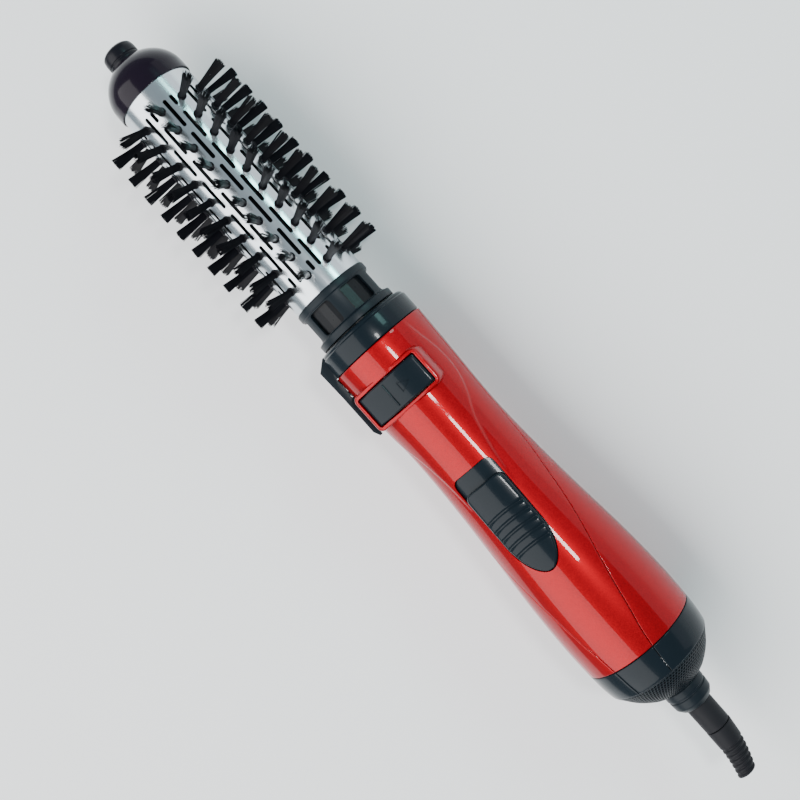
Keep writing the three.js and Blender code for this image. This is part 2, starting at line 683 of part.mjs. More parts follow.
function rockerWell() {
  const width = ROCKER_WIDTH + 2 * WELL;
  const shape = roundedRectangle(ROCKER_FROM - WELL, ROCKER_TO + WELL, width, BEZEL_CORNER - 1);
  const [from, to] = [ROCKER_FROM - ROCKER_PIN_SEAT, ROCKER_TO + ROCKER_PIN_SEAT];
  const pin = ring(0, ROCKER_PIN_RADIUS + GAP, from, to, SMALL_SIDES).translate([0, 0, ROCKER_PIVOT]);
  return raised(shape, BEZEL_TOP - BEZEL_HEIGHT - 1, BEZEL_TOP + 1).add(pin);
}

/** Where the release lever's rib, pin and spring go into the handle. */
function leverPocket() {
  const surface = handleRadius(LEVER_PIVOT_STATION);
  const pivot = surface - HANDLE_WALL / 2;
  const from = LEVER_PIVOT_STATION - LEVER_RIB_WIDTH / 2 - RUN;
  const to = LEVER_PIVOT_STATION + LEVER_RIB_WIDTH / 2 + RUN;
  const slot = block(from, to, LEVER_RIB_WIDTH + 2 * RUN, surface - 8, surface + 2);
  const groove = crossRod(LEVER_PIN_RADIUS + GAP, LEVER_WIDTH + 1, LEVER_PIVOT_STATION, pivot);
  const cupFloor = handleRadius(LEVER_SPRING_STATION) - LEVER_SPRING_CUP;
  const cup = post(LEVER_SPRING_RADIUS + 2 * RUN, cupFloor, surface + 2, LEVER_SPRING_STATION);
  return around(joined([slot, groove, cup]), LEVER_ANGLE);
}

/** A rod across the tool, along Y. */
function crossRod(radius, length, station, z) {
  return solid(new THREE.CylinderGeometry(radius, radius, length, 12).translate(-station, 0, z));
}

/** A flat outline taken right through the front of the handle. */
const throughFront = (shape) => raised(shape, LOW_CUT, CUTTER_REACH / 2);

function frontShell() {
  const skin = handleBand(-HANDLE_WALL, 0).add(rockerFrame()).intersect(besideSeam(1));
  const bosses = SCREW_STATIONS.map((s) => post(BOSS_RADIUS, GAP, handleRadius(s) - HANDLE_WALL / 2, s));
  const screwHoles = SCREW_STATIONS.map((s) => post(SCREW_RADIUS + GAP, 0, SCREW_TIP_HEIGHT + 1, s));
  const opening = throughFront(slideOutline(SLIDE_START, 0));
  return joined([skin, ...bosses]).subtract(joined([opening, rockerWell(), leverPocket(), ...screwHoles]));
}

/** The saddle in the rear shell that the gear motor lies in. */
function motorCradle() {
  const from = MOTOR_START + (MOTOR_LENGTH - CRADLE_LENGTH) / 2;
  const to = from + CRADLE_LENGTH;
  const floor = -handleRadius(to) + HANDLE_WALL / 2;
  const saddle = block(from, to, 2 * (MOTOR_RADIUS + CRADLE_WALL), floor, -PINION_OFFSET - 1);
  const seat = ring(0, MOTOR_RADIUS + GAP, from - 1, to + 1, SMALL_SIDES);
  return saddle.subtract(seat.translate([0, 0, -PINION_OFFSET]));
}

function rearShell() {
  const skin = handleBand(-HANDLE_WALL, 0).intersect(besideSeam(-1));
  const posts = SCREW_STATIONS.map((s) => post(BOSS_RADIUS, -handleRadius(s) + HANDLE_WALL / 2, -GAP, s));
  const bores = SCREW_STATIONS.map((s) => post(SCREW_RADIUS + GAP, -CUTTER_REACH, 1, s));
  const heads = SCREW_STATIONS.map((s) =>
    post(SCREW_HEAD_RADIUS + GAP, -CUTTER_REACH, SCREW_HEAD_HEIGHT + GAP, s)
  );
  return skin.add(joined([...posts, motorCradle()])).subtract(joined([...bores, ...heads]));
}

function housingScrew(station) {
  const head = post(SCREW_HEAD_RADIUS, SCREW_HEAD_HEIGHT - SCREW_HEAD, SCREW_HEAD_HEIGHT, station);
  return head.add(post(SCREW_RADIUS, SCREW_HEAD_HEIGHT - 1, SCREW_TIP_HEIGHT, station));
}

// ---------------------------------------------------------------- switches and lever

function rockerButton() {
  const shape = roundedRectangle(ROCKER_FROM, ROCKER_TO, ROCKER_WIDTH, BEZEL_CORNER - 1.2);
  const body = raised(shape, ROCKER_TOP - ROCKER_HEIGHT, ROCKER_TOP);
  const ribTop = ROCKER_TOP + ROCKER_RIB_HEIGHT;
  const margin = 1.5;
  const rib = block(ROCKER_FROM + margin, ROCKER_TO - margin, 0.9, ROCKER_TOP - 1, ribTop, ROCKER_RIB);
  const hub = ring(0, ROCKER_HUB_RADIUS, ROCKER_FROM + 1, ROCKER_TO - 1, SMALL_SIDES);
  const bore = ring(0, ROCKER_PIN_RADIUS + GAP, ROCKER_FROM - 1, ROCKER_TO + 1, SMALL_SIDES);
  const pivot = [0, 0, ROCKER_PIVOT];
  return joined([body, rib, hub.translate(pivot)]).subtract(bore.translate(pivot));
}

function rockerPin() {
  const reach = ROCKER_PIN_SEAT - GAP;
  const pin = ring(0, ROCKER_PIN_RADIUS, ROCKER_FROM - reach, ROCKER_TO + reach, SMALL_SIDES);
  return pin.translate([0, 0, ROCKER_PIVOT]);
}

function switchPlate() {
  const plate = handleBand(-PLATE_DEPTH - PLATE_THICKNESS, -PLATE_DEPTH);
  const from = STEM_STATION - STEM_LENGTH / 2 - SLIDE_TRAVEL - RUN;
  const to = STEM_STATION + STEM_LENGTH / 2 + RUN;
  const slot = block(from, to, STEM_WIDTH + 2 * RUN, LOW_CUT, CUTTER_REACH / 2);
  return plate.intersect(throughFront(slideOutline(SLIDE_START + GAP, GAP))).subtract(slot);
}

function slideKnob() {
  const outline = slideOutline(KNOB_START, RUN);
  const body = handleBand(-PLATE_DEPTH + GAP, KNOB_RISE).intersect(throughFront(outline));
  const grooves = [];
  for (let i = 0; i < KNOB_GROOVES; i += 1) {
    const from = SLIDE_START + KNOB_GROOVE_START + i * KNOB_GROOVE_PITCH;
    const floor = handleRadius(from) + KNOB_RISE - KNOB_GROOVE_DEPTH;
    grooves.push(ring(floor, floor + 5, from, from + KNOB_GROOVE_WIDTH));
  }
  const [from, to] = [STEM_STATION - STEM_LENGTH / 2, STEM_STATION + STEM_LENGTH / 2];
  const stem = block(from, to, STEM_WIDTH, SWITCH_TOP + GAP, handleRadius(STEM_STATION));
  return body.subtract(joined(grooves)).add(stem);
}

function releaseLever() {
  const surface = handleRadius(LEVER_PIVOT_STATION);
  const foot = surface + LEVER_CLEARANCE;
  const bar = slab(
    [
      [LEVER_START, LEVER_HOOK_RADIUS],
      [LEVER_START, LEVER_HOOK_RADIUS + LEVER_HOOK],
      [LEVER_START + LEVER_NOSE, LEVER_TOP],
      [LEVER_END - 3, LEVER_TOP - 0.4],
      [LEVER_END, foot + 1],
      [LEVER_END, foot],
      [NOSE_END - RUN, foot],
      [NOSE_END - RUN, LEVER_HOOK_RADIUS],
    ],
    LEVER_WIDTH
  );
  const pivot = surface - HANDLE_WALL / 2;
  const from = LEVER_PIVOT_STATION - LEVER_RIB_WIDTH / 2;
  const rib = block(from, from + LEVER_RIB_WIDTH, LEVER_RIB_WIDTH, pivot - 2.3, foot + 1);
  const bore = crossRod(LEVER_PIN_RADIUS + GAP, LEVER_WIDTH, LEVER_PIVOT_STATION, pivot);
  const ceiling = foot + LEVER_SPRING_POCKET;
  const pocket = post(LEVER_SPRING_RADIUS + 2 * RUN, foot - 1, ceiling, LEVER_SPRING_STATION);
  return around(bar.add(rib).subtract(joined([bore, pocket])), LEVER_ANGLE);
}

function leverPin() {
  const pivot = handleRadius(LEVER_PIVOT_STATION) - HANDLE_WALL / 2;
  const length = LEVER_WIDTH + 1 - 2 * GAP;
  return around(crossRod(LEVER_PIN_RADIUS, length, LEVER_PIVOT_STATION, pivot), LEVER_ANGLE);
}

function leverSpring() {
  const low = handleRadius(LEVER_SPRING_STATION) - LEVER_SPRING_CUP + GAP + LEVER_SPRING_WIRE;
  const ceiling = handleRadius(LEVER_PIVOT_STATION) + LEVER_CLEARANCE + LEVER_SPRING_POCKET;
  const high = ceiling - LEVER_TRAVEL - GAP - LEVER_SPRING_WIRE;
  const wound = coil(new Helix(LEVER_SPRING_RADIUS, -high, -low, 2), LEVER_SPRING_WIRE, 8, 5);
  const upright = wound.rotate([0, -90, 0]).translate([-LEVER_SPRING_STATION, 0, 0]);
  return around(upright, LEVER_ANGLE);
}

// ---------------------------------------------------------------- inside

const bulkheadRadius = handleRadius(BULKHEAD_START + BULKHEAD) - HANDLE_WALL - GAP;
const AIR_TUBE_RADIUS = HUB_BORE - RUN;
const COIL_RADIUS = AIR_TUBE_RADIUS - AIR_TUBE_WALL - GAP - COIL_WIRE;

const BULKHEAD_NOTCH = 3.9; // room left round the rocker's hub and the lever's rib

/** The fixed air tube that carries the heater, with the bulkhead that seats it in the handle. */
function airTube() {
  const bore = AIR_TUBE_RADIUS - AIR_TUBE_WALL;
  const bulkheadEnd = BULKHEAD_START + BULKHEAD;
  const tube = ring(bore, AIR_TUBE_RADIUS, AIR_TUBE_START, BULKHEAD_START + 0.5);
  const plate = ring(bore, bulkheadRadius, BULKHEAD_START, bulkheadEnd);
  const shaftHole = ring(0, PINION_SHAFT_RADIUS + RUN, BULKHEAD_START - 1, bulkheadEnd + 1, SMALL_SIDES);
  const [from, to] = [BULKHEAD_START - 1, bulkheadEnd + 1];
  const wellFloor = ROCKER_PIVOT - ROCKER_HUB_RADIUS - BULKHEAD_NOTCH;
  const well = block(from, to, bulkheadRadius * 2, wellFloor, CUTTER_REACH / 2);
  const notchFloor = bulkheadRadius - BULKHEAD_NOTCH;
  const notch = block(from, to, LEVER_RIB_WIDTH + BULKHEAD_NOTCH, notchFloor, CUTTER_REACH / 2);
  const side = around(notch, LEVER_ANGLE);
  return tube.add(plate).subtract(joined([shaftHole.translate([0, 0, -PINION_OFFSET]), well, side]));
}

function heaterFrame() {
  const width = 2 * (COIL_RADIUS * Math.cos(Math.PI / COIL_STEPS) - COIL_WIRE - GAP);
  const flat = block(HEATER_START, HEATER_END, width, -MICA / 2, MICA / 2);
  return flat.add(block(HEATER_START, HEATER_END, MICA, -width / 2, width / 2));
}

function heaterCoil() {
  const [from, to] = [HEATER_START + COIL_MARGIN, HEATER_END - COIL_MARGIN];
  return coil(new Helix(COIL_RADIUS, from, to, (to - from) / COIL_PITCH), COIL_WIRE, COIL_STEPS, 4);
}

const thermalCutout = () => block(HEATER_END + 2, HEATER_END + 9, 5, -2, 2);

function circuitBoard() {
  const top = BOARD_HEIGHT + BOARD_THICKNESS;
  const board = block(BOARD_START, BOARD_START + BOARD_LENGTH, BOARD_WIDTH, BOARD_HEIGHT, top);
  return board.subtract(post(BOSS_RADIUS + GAP, 0, SWITCH_TOP, SCREW_STATIONS[0]));
}

const slideSwitch = () =>
  block(STEM_STATION - 12, STEM_STATION + 8, 9, SWITCH_BASE, SWITCH_TOP);

const directionSwitch = () =>
  block(ROCKER_STATION - 5, ROCKER_STATION + 6, 16, SWITCH_BASE, ROCKER_PIVOT - ROCKER_HUB_RADIUS - 2);

const fanMotor = () =>
  turned([
    [FAN_MOTOR_START, 0],
    [FAN_MOTOR_START, FAN_MOTOR_RADIUS - 1],
    [FAN_MOTOR_START + 1, FAN_MOTOR_RADIUS],
    [FAN_MOTOR_END, FAN_MOTOR_RADIUS],
    [FAN_MOTOR_END, 3],
    [FAN_MOTOR_END + 1, 3],
    [FAN_MOTOR_END + 1, 0],
  ]);

function motorMount() {
  const inner = FAN_MOTOR_RADIUS + GAP;
  const end = MOUNT_STATION + MOUNT_THICKNESS;
  const reach = handleRadius(MOUNT_STATION) - HANDLE_WALL - GAP;
  const arms = [];
  for (let i = 0; i < MOUNT_ARMS; i += 1) {
    const arm = block(MOUNT_STATION, end, 3, inner + 1, reach - 0.2);
    arms.push(around(arm, 45 + (360 * i) / MOUNT_ARMS));
  }
  return ring(inner, inner + MOUNT_RING, MOUNT_STATION, end).add(joined(arms));
}

function fanImpeller() {
  const blades = [];
  const root = FAN_HUB_RADIUS - 1;
  const shape = new THREE.BoxGeometry(FAN_LENGTH, FAN_BLADE, FAN_RADIUS - root).rotateZ(rad(FAN_PITCH));
  const blade = solid(shape.translate(-(FAN_START + FAN_END) / 2, 0, (FAN_RADIUS + root) / 2));
  for (let i = 0; i < FAN_BLADES; i += 1) blades.push(around(blade, (360 * i) / FAN_BLADES));
  const hub = ring(0, FAN_HUB_RADIUS, FAN_START, FAN_END, SMALL_SIDES);
  const bore = ring(0, FAN_SHAFT_RADIUS + GAP, FAN_START - 1, FAN_END + 1, SMALL_SIDES);
  return joined([hub, ...blades]).subtract(bore);
}

const fanShaft = () => ring(0, FAN_SHAFT_RADIUS, FAN_MOTOR_END + 1 + GAP, FAN_END + 0.5, SMALL_SIDES);

// ---------------------------------------------------------------- rear end

/** The black cap behind the handle, cut by the parting line into a front and a rear half. */
function rearCap(side) {
  const bore = REAR_CAP_RADIUS - REAR_CAP_WALL;
  const outer = [[REAR_CAP_START, handleRadius(HANDLE_END) - 0.1], [REAR_CAP_END, REAR_CAP_RADIUS]];
  return turned([...outer, [REAR_CAP_END, bore], [REAR_CAP_START, bore]]).intersect(besideSeam(side));
}

const FILTER_RADIUS = REAR_CAP_RADIUS - REAR_CAP_WALL - GAP;
const inletFilter = () => ring(0, FILTER_RADIUS, FILTER_STATION, FILTER_STATION + FILTER_THICKNESS);

const GRILLE_STEP = 0.4; // below the band in front of it
const GRILLE_FULLNESS = 1.9; // 2 is a round dome

function inletGrille() {
  const base = FILTER_RADIUS;
  const from = FILTER_STATION + FILTER_THICKNESS + GAP;
  const start = REAR_CAP_END + GAP;
  const outer = [[from, base], [start, base]];
  const inner = [[from, base - GRILLE_WALL]];
  const steps = 3;
  const rise = REAR_CAP_RADIUS - GRILLE_STEP - GRILLE_NOSE_RADIUS;
  for (let i = 0; i <= steps; i += 1) {
    const along = Math.sin((Math.PI / 2) * (i / steps));
    const station = start + (GRILLE_END - start) * along;
    const radius = GRILLE_NOSE_RADIUS + rise * (1 - along ** GRILLE_FULLNESS);
    outer.push([station, radius]);
    inner.push([Math.min(station, GRILLE_END - GRILLE_WALL), radius - GRILLE_WALL]);
  }
  const hole = SWIVEL_NECK_RADIUS + GAP;
  const lip = [[GRILLE_END, hole], [GRILLE_END - GRILLE_WALL, hole]];
  const shell = turned([...outer, ...lip, ...inner.reverse()]);
  const slots = [];
  for (let i = 0; i < GRILLE_SLOTS; i += 1) {
    const [low, high] = [GRILLE_NOSE_RADIUS + 1, REAR_CAP_RADIUS + 2];
    const slot = block(start + 1.5, GRILLE_END - 2, GRILLE_SLOT_WIDTH, low, high);
    slots.push(around(slot, (360 * i) / GRILLE_SLOTS));
  }
  return shell.subtract(joined(slots));
}

function swivelCollar() {
  const inside = GRILLE_END - GRILLE_WALL - GAP;
  const outside = GRILLE_END + GAP;
  return turned([
    [inside - SWIVEL_FLANGE, CORD_BORE],
    [inside - SWIVEL_FLANGE, SWIVEL_NECK_RADIUS + SWIVEL_FLANGE],
    [inside, SWIVEL_NECK_RADIUS + SWIVEL_FLANGE],
    [inside, SWIVEL_NECK_RADIUS],
    [outside, SWIVEL_NECK_RADIUS],
    [outside, SWIVEL_BODY_RADIUS],
    [SWIVEL_END - SWIVEL_CHAMFER, SWIVEL_BODY_RADIUS],
    [SWIVEL_END, SWIVEL_BODY_RADIUS - SWIVEL_CHAMFER],
    [SWIVEL_END, CORD_BORE],
  ], SMALL_SIDES);
}

const strainReliefNeck = () => ring(CORD_BORE, NECK_RADIUS, SWIVEL_END + GAP, NECK_END, SMALL_SIDES);

/** The flexible ribbed guard, turned straight and then bent by its own formula. */
function cordGuard() {
  const from = NECK_END + GAP;
  const outer = [[from, CORD_BORE], [from, NECK_RADIUS], [from + GUARD_PLAIN, GUARD_PLAIN_RADIUS]];
  const ribbed = GUARD_END - from - GUARD_PLAIN;
  const pitch = ribbed / GUARD_RIBS;
  for (let i = 0; i < GUARD_RIBS; i += 1) {
    const station = from + GUARD_PLAIN + i * pitch;
    const radius = GUARD_PLAIN_RADIUS + ((GUARD_TIP_RADIUS - GUARD_PLAIN_RADIUS) * (i + 1)) / GUARD_RIBS;
    const groove = radius - GUARD_RIB_DEPTH;
    outer.push([station + pitch * 0.2, groove], [station + pitch * 0.5, groove]);
    outer.push([station + pitch * 0.65, radius], [station + pitch, radius]);
  }
  outer.push([GUARD_END, CORD_BORE]);
  const straight = turned(outer, SMALL_SIDES);
  return straight.warp((v) => {
    const along = Math.max(0, -v[0] - from) / (GUARD_END - from);
    v[1] += GUARD_BEND * along * along;
  });
}

// ---------------------------------------------------------------- assembly

const tool = new THREE.Group();

function place(name, made, material) {
  const mesh = new THREE.Mesh(geometryOf(made), material);
  mesh.name = name;
  tool.add(mesh);
  return mesh;
}

place("cool_tip", coolTip(), BLACK);
place("tip_screw", tipScrew(), STEEL);
place("end_cap", endCap(), BLACK_GLOSS);
place("barrel_tube", barrelTube(), ALUMINIUM);
const strip = bristleStrip();
for (let row = 0; row < ROWS; row += 1) {
  const number = String(row + 1).padStart(2, "0");
  const mesh = place(`bristle_strip_${number}`, strip, NYLON);
  mesh.rotation.x = rad(-rowAngle(row));
}
place("window_collar", windowCollar(), BLACK);
place("drive_hub", driveHub(), NATURAL);
place("hub_bush", hubBush(), BRASS);
place("drive_pinion", drivePinion(), BRASS).position.z = -PINION_OFFSET;
place("gear_motor", gearMotor(), STEEL).position.z = -PINION_OFFSET;
place("nose_ring", noseRing(), BLACK_GLOSS);
place("front_shell", frontShell(), RED);
place("rear_shell", rearShell(), RED);
SCREW_STATIONS.forEach((station, i) => place(`housing_screw_${i + 1}`, housingScrew(station), STEEL));
place("rocker_button", rockerButton(), BLACK_GLOSS);
place("rocker_pin", rockerPin(), STEEL);
place("switch_plate", switchPlate(), BLACK);
place("slide_knob", slideKnob(), BLACK_GLOSS);
place("release_lever", releaseLever(), BLACK_GLOSS);
place("lever_pin", leverPin(), STEEL);
place("lever_spring", leverSpring(), STEEL);
place("air_tube", airTube(), ALUMINIUM);
place("heater_frame", heaterFrame(), MICA_BROWN);
place("heater_coil", heaterCoil(), STEEL);
place("thermal_cutout", thermalCutout(), STEEL);
place("circuit_board", circuitBoard(), BOARD_GREEN);
place("slide_switch", slideSwitch(), BLACK);
place("direction_switch", directionSwitch(), BLACK);
place("fan_motor", fanMotor(), STEEL);
place("motor_mount", motorMount(), NATURAL);
place("fan_impeller", fanImpeller(), NATURAL);
place("fan_shaft", fanShaft(), STEEL);
place("rear_cap_front", rearCap(1), BLACK_GLOSS);
place("rear_cap_back", rearCap(-1), BLACK_GLOSS);
place("inlet_filter", inletFilter(), DARK_RED);
place("inlet_grille", inletGrille(), BLACK);
place("swivel_collar", swivelCollar(), BLACK);
place("strain_relief_neck", strainReliefNeck(), BLACK);
place("cord_guard", cordGuard(), BLACK);

tool.position.set(GUARD_END / 2, 0, TUFT_TIP_RADIUS);

const brush = new THREE.Group();
brush.add(tool);
export default brush;
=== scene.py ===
# %% [markdown]
# # A rotating hot-air styling brush
# The real tool has a bristled aluminium barrel that a small motor turns, a cool tip to hold it
# by, and a red handle with a rocker, a slide switch and an inlet mesh at its back. Its solid model
# comes in as a fixed frame, whose pieces already move. This file builds the finished surfaces.

# %% Load the frame
import math

import bmesh
import bpy
import numpy as np
from mathutils import Matrix, Vector


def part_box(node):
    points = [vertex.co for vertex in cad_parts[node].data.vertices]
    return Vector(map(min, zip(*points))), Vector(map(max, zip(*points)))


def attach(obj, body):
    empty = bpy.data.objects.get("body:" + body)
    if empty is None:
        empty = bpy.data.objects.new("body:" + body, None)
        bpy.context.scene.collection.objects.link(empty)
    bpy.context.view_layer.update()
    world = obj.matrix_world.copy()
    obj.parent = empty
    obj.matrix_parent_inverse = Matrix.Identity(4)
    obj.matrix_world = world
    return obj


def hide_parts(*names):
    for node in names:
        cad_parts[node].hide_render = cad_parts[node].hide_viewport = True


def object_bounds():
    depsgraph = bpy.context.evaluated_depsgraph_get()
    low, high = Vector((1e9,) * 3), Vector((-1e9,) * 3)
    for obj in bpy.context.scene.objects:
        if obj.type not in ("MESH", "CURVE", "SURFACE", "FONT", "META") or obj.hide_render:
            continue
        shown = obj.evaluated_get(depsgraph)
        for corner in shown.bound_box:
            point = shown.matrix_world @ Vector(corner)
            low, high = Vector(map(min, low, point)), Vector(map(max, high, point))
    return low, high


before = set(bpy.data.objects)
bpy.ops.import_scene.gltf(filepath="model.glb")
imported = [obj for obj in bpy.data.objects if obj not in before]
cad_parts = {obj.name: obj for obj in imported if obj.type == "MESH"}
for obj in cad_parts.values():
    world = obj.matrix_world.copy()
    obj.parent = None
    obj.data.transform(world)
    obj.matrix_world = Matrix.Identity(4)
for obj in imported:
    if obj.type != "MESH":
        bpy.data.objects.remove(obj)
cad_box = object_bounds()
print("nodes", len(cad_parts), "box", [round(v, 4) for v in (*cad_box[0], *cad_box[1])])

# %% [markdown]
# ## Places along the tool
# Nearly every piece is turned about one axis, so a place is easiest to say as a station, which is
# the distance behind the tip's end face, a radius, and an angle from the front towards the lever's
# side. Lengths are in millimetres and angles in degrees. The main stations and radii are read from
# the frame's own boxes.

# %% Stations, radii and angles
MM = 0.001
END_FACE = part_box("cool_tip")[1].x
AXIS_HEIGHT = sum(corner.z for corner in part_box("end_cap")) / 2


def span(node):
    """The first and last station of a node."""
    low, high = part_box(node)
    return (END_FACE - high.x) / MM, (END_FACE - low.x) / MM


def girth(node):
    """The largest radius of a turned node."""
    low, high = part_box(node)
    return (high.y - low.y) / 2 / MM


def placed(station, across, height):
    """Points in the row frame from stations and places across and above the axis, in mm."""
    station, across, height = np.broadcast_arrays(station, across, height)
    x, y, z = END_FACE - station * MM, across * MM, AXIS_HEIGHT + height * MM
    return np.stack([x, y, z], axis=-1).reshape(-1, 3)


def around(station, radius, angle):
    """Points in the row frame from stations, radii and angles."""
    turn = np.radians(angle)
    return placed(station, radius * np.sin(turn), radius * np.cos(turn))


def turned(station, across, height, angle):
    """Points placed as if the front were at an angle."""
    turn = math.radians(angle)
    side = across * math.cos(turn) + height * math.sin(turn)
    return placed(station, side, height * math.cos(turn) - across * math.sin(turn))


BARREL = span("barrel_tube")
HANDLE = span("rear_shell")
print("barrel", np.round(BARREL, 1), "handle", np.round(HANDLE, 1))
print("axis height", round(AXIS_HEIGHT, 4))

# %% [markdown]
# ## The camera
# The camera looks down on the front of the tool. It leans from straight above, away from the
# lever's side, and the tool lies across the view from upper left to lower right. It is made first,
# so that each piece can be looked at from there as it is added.


# %% Camera
def added(name, data):
    """A new object in the scene."""
    made = bpy.data.objects.new(name, data)
    bpy.context.scene.collection.objects.link(made)
    return made


VIEW_TILT = math.radians(19.4)
VIEW_ROLL = math.radians(48.2)
DISTANCE = 0.484
LENS = 50.67
AIM_STATION, AIM_SIDEWAYS = 193.3, 8.9
back = Vector((0, -math.sin(VIEW_TILT), math.cos(VIEW_TILT)))
sideways = Vector((0, math.cos(VIEW_TILT), math.sin(VIEW_TILT)))
along = Vector((1, 0, 0))
right = -math.cos(VIEW_ROLL) * along - math.sin(VIEW_ROLL) * sideways
up = math.sin(VIEW_ROLL) * along - math.cos(VIEW_ROLL) * sideways
aim = Vector((END_FACE - AIM_STATION * MM, 0, AXIS_HEIGHT)) + sideways * AIM_SIDEWAYS * MM
camera = added("camera", bpy.data.cameras.new("camera"))
camera.data.lens = LENS
facing = Matrix((right, up, back)).transposed().to_4x4()
camera.matrix_world = Matrix.Translation(aim + back * DISTANCE) @ facing
bpy.context.scene.camera = camera
print("camera at", [round(v, 3) for v in camera.matrix_world.translation])

# %% [markdown]
# ## Writing materials as sums
# A material here is a few lines of arithmetic. Value wraps one output socket, so that an operator
# on it adds the Math node that does the same. Finish owns one material, adds any other node by
# name, and sets the shader's sockets.


# %% Values and finishes
class Value:
    """One output socket that can be used in Python expressions."""

    def __init__(self, owner, socket):
        self.owner, self.socket = owner, socket

    def math(self, operation, *others):
        inputs = dict(enumerate([self, *others]))
        return self.owner.node("ShaderNodeMath", inputs, operation=operation)

    def __add__(self, other):
        return self.math("ADD", other)

    def __mul__(self, other):
        return self.math("MULTIPLY", other)

    def __sub__(self, other):
        return self.math("SUBTRACT", other)

    __radd__, __rmul__ = __add__, __mul__


class Finish:
    """One material: its Principled shader, and the nodes that feed it."""

    def __init__(self, name, color, **sockets):
        self.material = bpy.data.materials.new(name)
        self.material.use_nodes = True
        self.tree = self.material.node_tree
        self.shader = self.tree.nodes["Principled BSDF"]
        self.material.diffuse_color = (*color, 1)
        self.set(Base_Color=(*color, 1), **sockets)

    def node(self, kind, inputs=None, output=0, **settings):
        """Adds a node, sets it up, links or fills its inputs, and gives back one output."""
        made = self.tree.nodes.new(kind)
        for key, value in settings.items():
            setattr(made, key, value)
        for key, value in (inputs or {}).items():
            self.feed(made.inputs[key], value)
        return Value(self, made.outputs[output])

    def feed(self, socket, value):
        if isinstance(value, Value):
            self.tree.links.new(value.socket, socket)
        else:
            socket.default_value = value

    def set(self, **sockets):
        for name, value in sockets.items():
            self.feed(self.shader.inputs[name.replace("_", " ")], value)

    def place(self):
        """The point on the piece, in metres in the row frame."""
        return self.node("ShaderNodeTexCoord", output="Object")

    def noise(self, scale, detail=2.0, stretch=(1, 1, 1)):
        """Noise from 0 to 1 whose grains are about 1 / scale of a metre across."""
        vector = self.node("ShaderNodeMapping", {"Vector": self.place(), "Scale": stretch})
        inputs = {"Vector": vector, "Scale": scale, "Detail": detail}
        return self.node("ShaderNodeTexNoise", inputs)

    def mix(self, factor, first, second):
        """One colour laid over another."""
        inputs = {0: factor, 6: (*first, 1), 7: (*second, 1)}
        return self.node("ShaderNodeMix", inputs, 2, data_type="RGBA")

    def bump(self, height, depth):
        """A normal from a height, whose full rise is depth metres."""
        inputs = {"Height": height, "Distance": depth, "Strength": 1.0}
        self.set(Normal=self.node("ShaderNodeBump", inputs))
        return self


# %% [markdown]
# ## Floor and lights
# A pale, plain floor lies just under the bristles. One large soft panel on the lever's side draws
# the crisp edge that runs the length of the lacquer, and a low dim one lights the other side. A
# small lamp gives the short white streak in the handle's waist, a teal one beyond the tip tints a
# line of the barrel, and a dim sky fills the rest with a cool tint.


# %% Floor, sky and panels
def meshed(name, points, faces):
    """A new object in the scene, made of points and faces."""
    mesh = bpy.data.meshes.new(name)
    mesh.from_pydata(np.asarray(points).tolist(), [], faces)
    return added(name, mesh)


FLOOR_GAP = 0.4
SKY_COLOR, SKY_STRENGTH = (0.78, 0.92, 1.0, 1), 0.42
floor_finish = Finish("floor_white", (0.92, 0.92, 0.93), Roughness=0.9)
floor_finish.set(Roughness=0.85 + 0.1 * floor_finish.noise(30))
floor = meshed("floor", [(-9, -9, 0), (9, -9, 0), (9, 9, 0), (-9, 9, 0)], [(0, 1, 2, 3)])
floor.location.z = cad_box[0].z - FLOOR_GAP * MM
floor.data.materials.append(floor_finish.material)

sky = bpy.data.worlds.new("sky")
sky.use_nodes = True
sky.node_tree.nodes["Background"].inputs["Color"].default_value = SKY_COLOR
sky.node_tree.nodes["Background"].inputs["Strength"].default_value = SKY_STRENGTH
bpy.context.scene.world = sky


def panel(name, angle, distance, size, power, color=(1, 1, 1), station=AIM_STATION):
    """A soft panel facing a station, at an angle from above towards the lever's side."""
    lamp = bpy.data.lights.new(name, "AREA")
    lamp.shape = "RECTANGLE"
    lamp.size, lamp.size_y = size
    lamp.energy, lamp.color = power, color
    made = added(name, lamp)
    turn = math.radians(angle)
    way = Vector((0, math.sin(turn), math.cos(turn)))
    made.location = Vector((END_FACE - station * MM, 0, AXIS_HEIGHT)) + way * distance
    made.rotation_euler = (-turn, 0, 0)


panel("key_panel", 36, 1.2, (2.6, 1.3), 40, (1.0, 0.985, 0.97))
panel("far_panel", -84, 1.3, (2.2, 0.7), 4, (0.97, 0.96, 1.0))
panel("strip", -29, 1.2, (0.15, 0.13), 5, station=262)
panel("cool_panel", -58, 1.2, (0.5, 0.22), 4, (0.5, 1.0, 0.95), station=-90)

# %% [markdown]
# ## Finishes
# The lacquer is a bright metallic red under clear coat: a base that is part metal, with fine flakes
# in its colour and roughness. The black mouldings differ in gloss, grain and a slight tint. The
# barrel is polished and anodised, with turning marks too fine to see one by one. The scale of a
# grain is in cells to the metre, and its depth is in metres.


# %% Lacquer, mouldings and metals
DRIFT_SCALE, DRIFT_SHADE = 60, 0.8
FLAKE_SCALE, FLAKE_DARK, FLAKE_BRIGHT = 5200.0, (0.3, 0.0, 0.012), (0.46, 0.0, 0.018)


def grained(name, color, rough, spread, scale, depth, stretch=(1, 1, 1), **sockets):
    """A finish whose roughness and relief follow one noise, and whose colour drifts a little."""
    made = Finish(name, color, **sockets)
    grain = made.noise(scale, 3.0, stretch)
    drift = made.noise(DRIFT_SCALE, 2.0)
    darker = tuple(channel * DRIFT_SHADE for channel in color)
    shade = made.mix(drift, darker, color)
    made.set(Base_Color=shade, Roughness=rough + spread * (grain - 0.5))
    return made.bump(grain, depth)


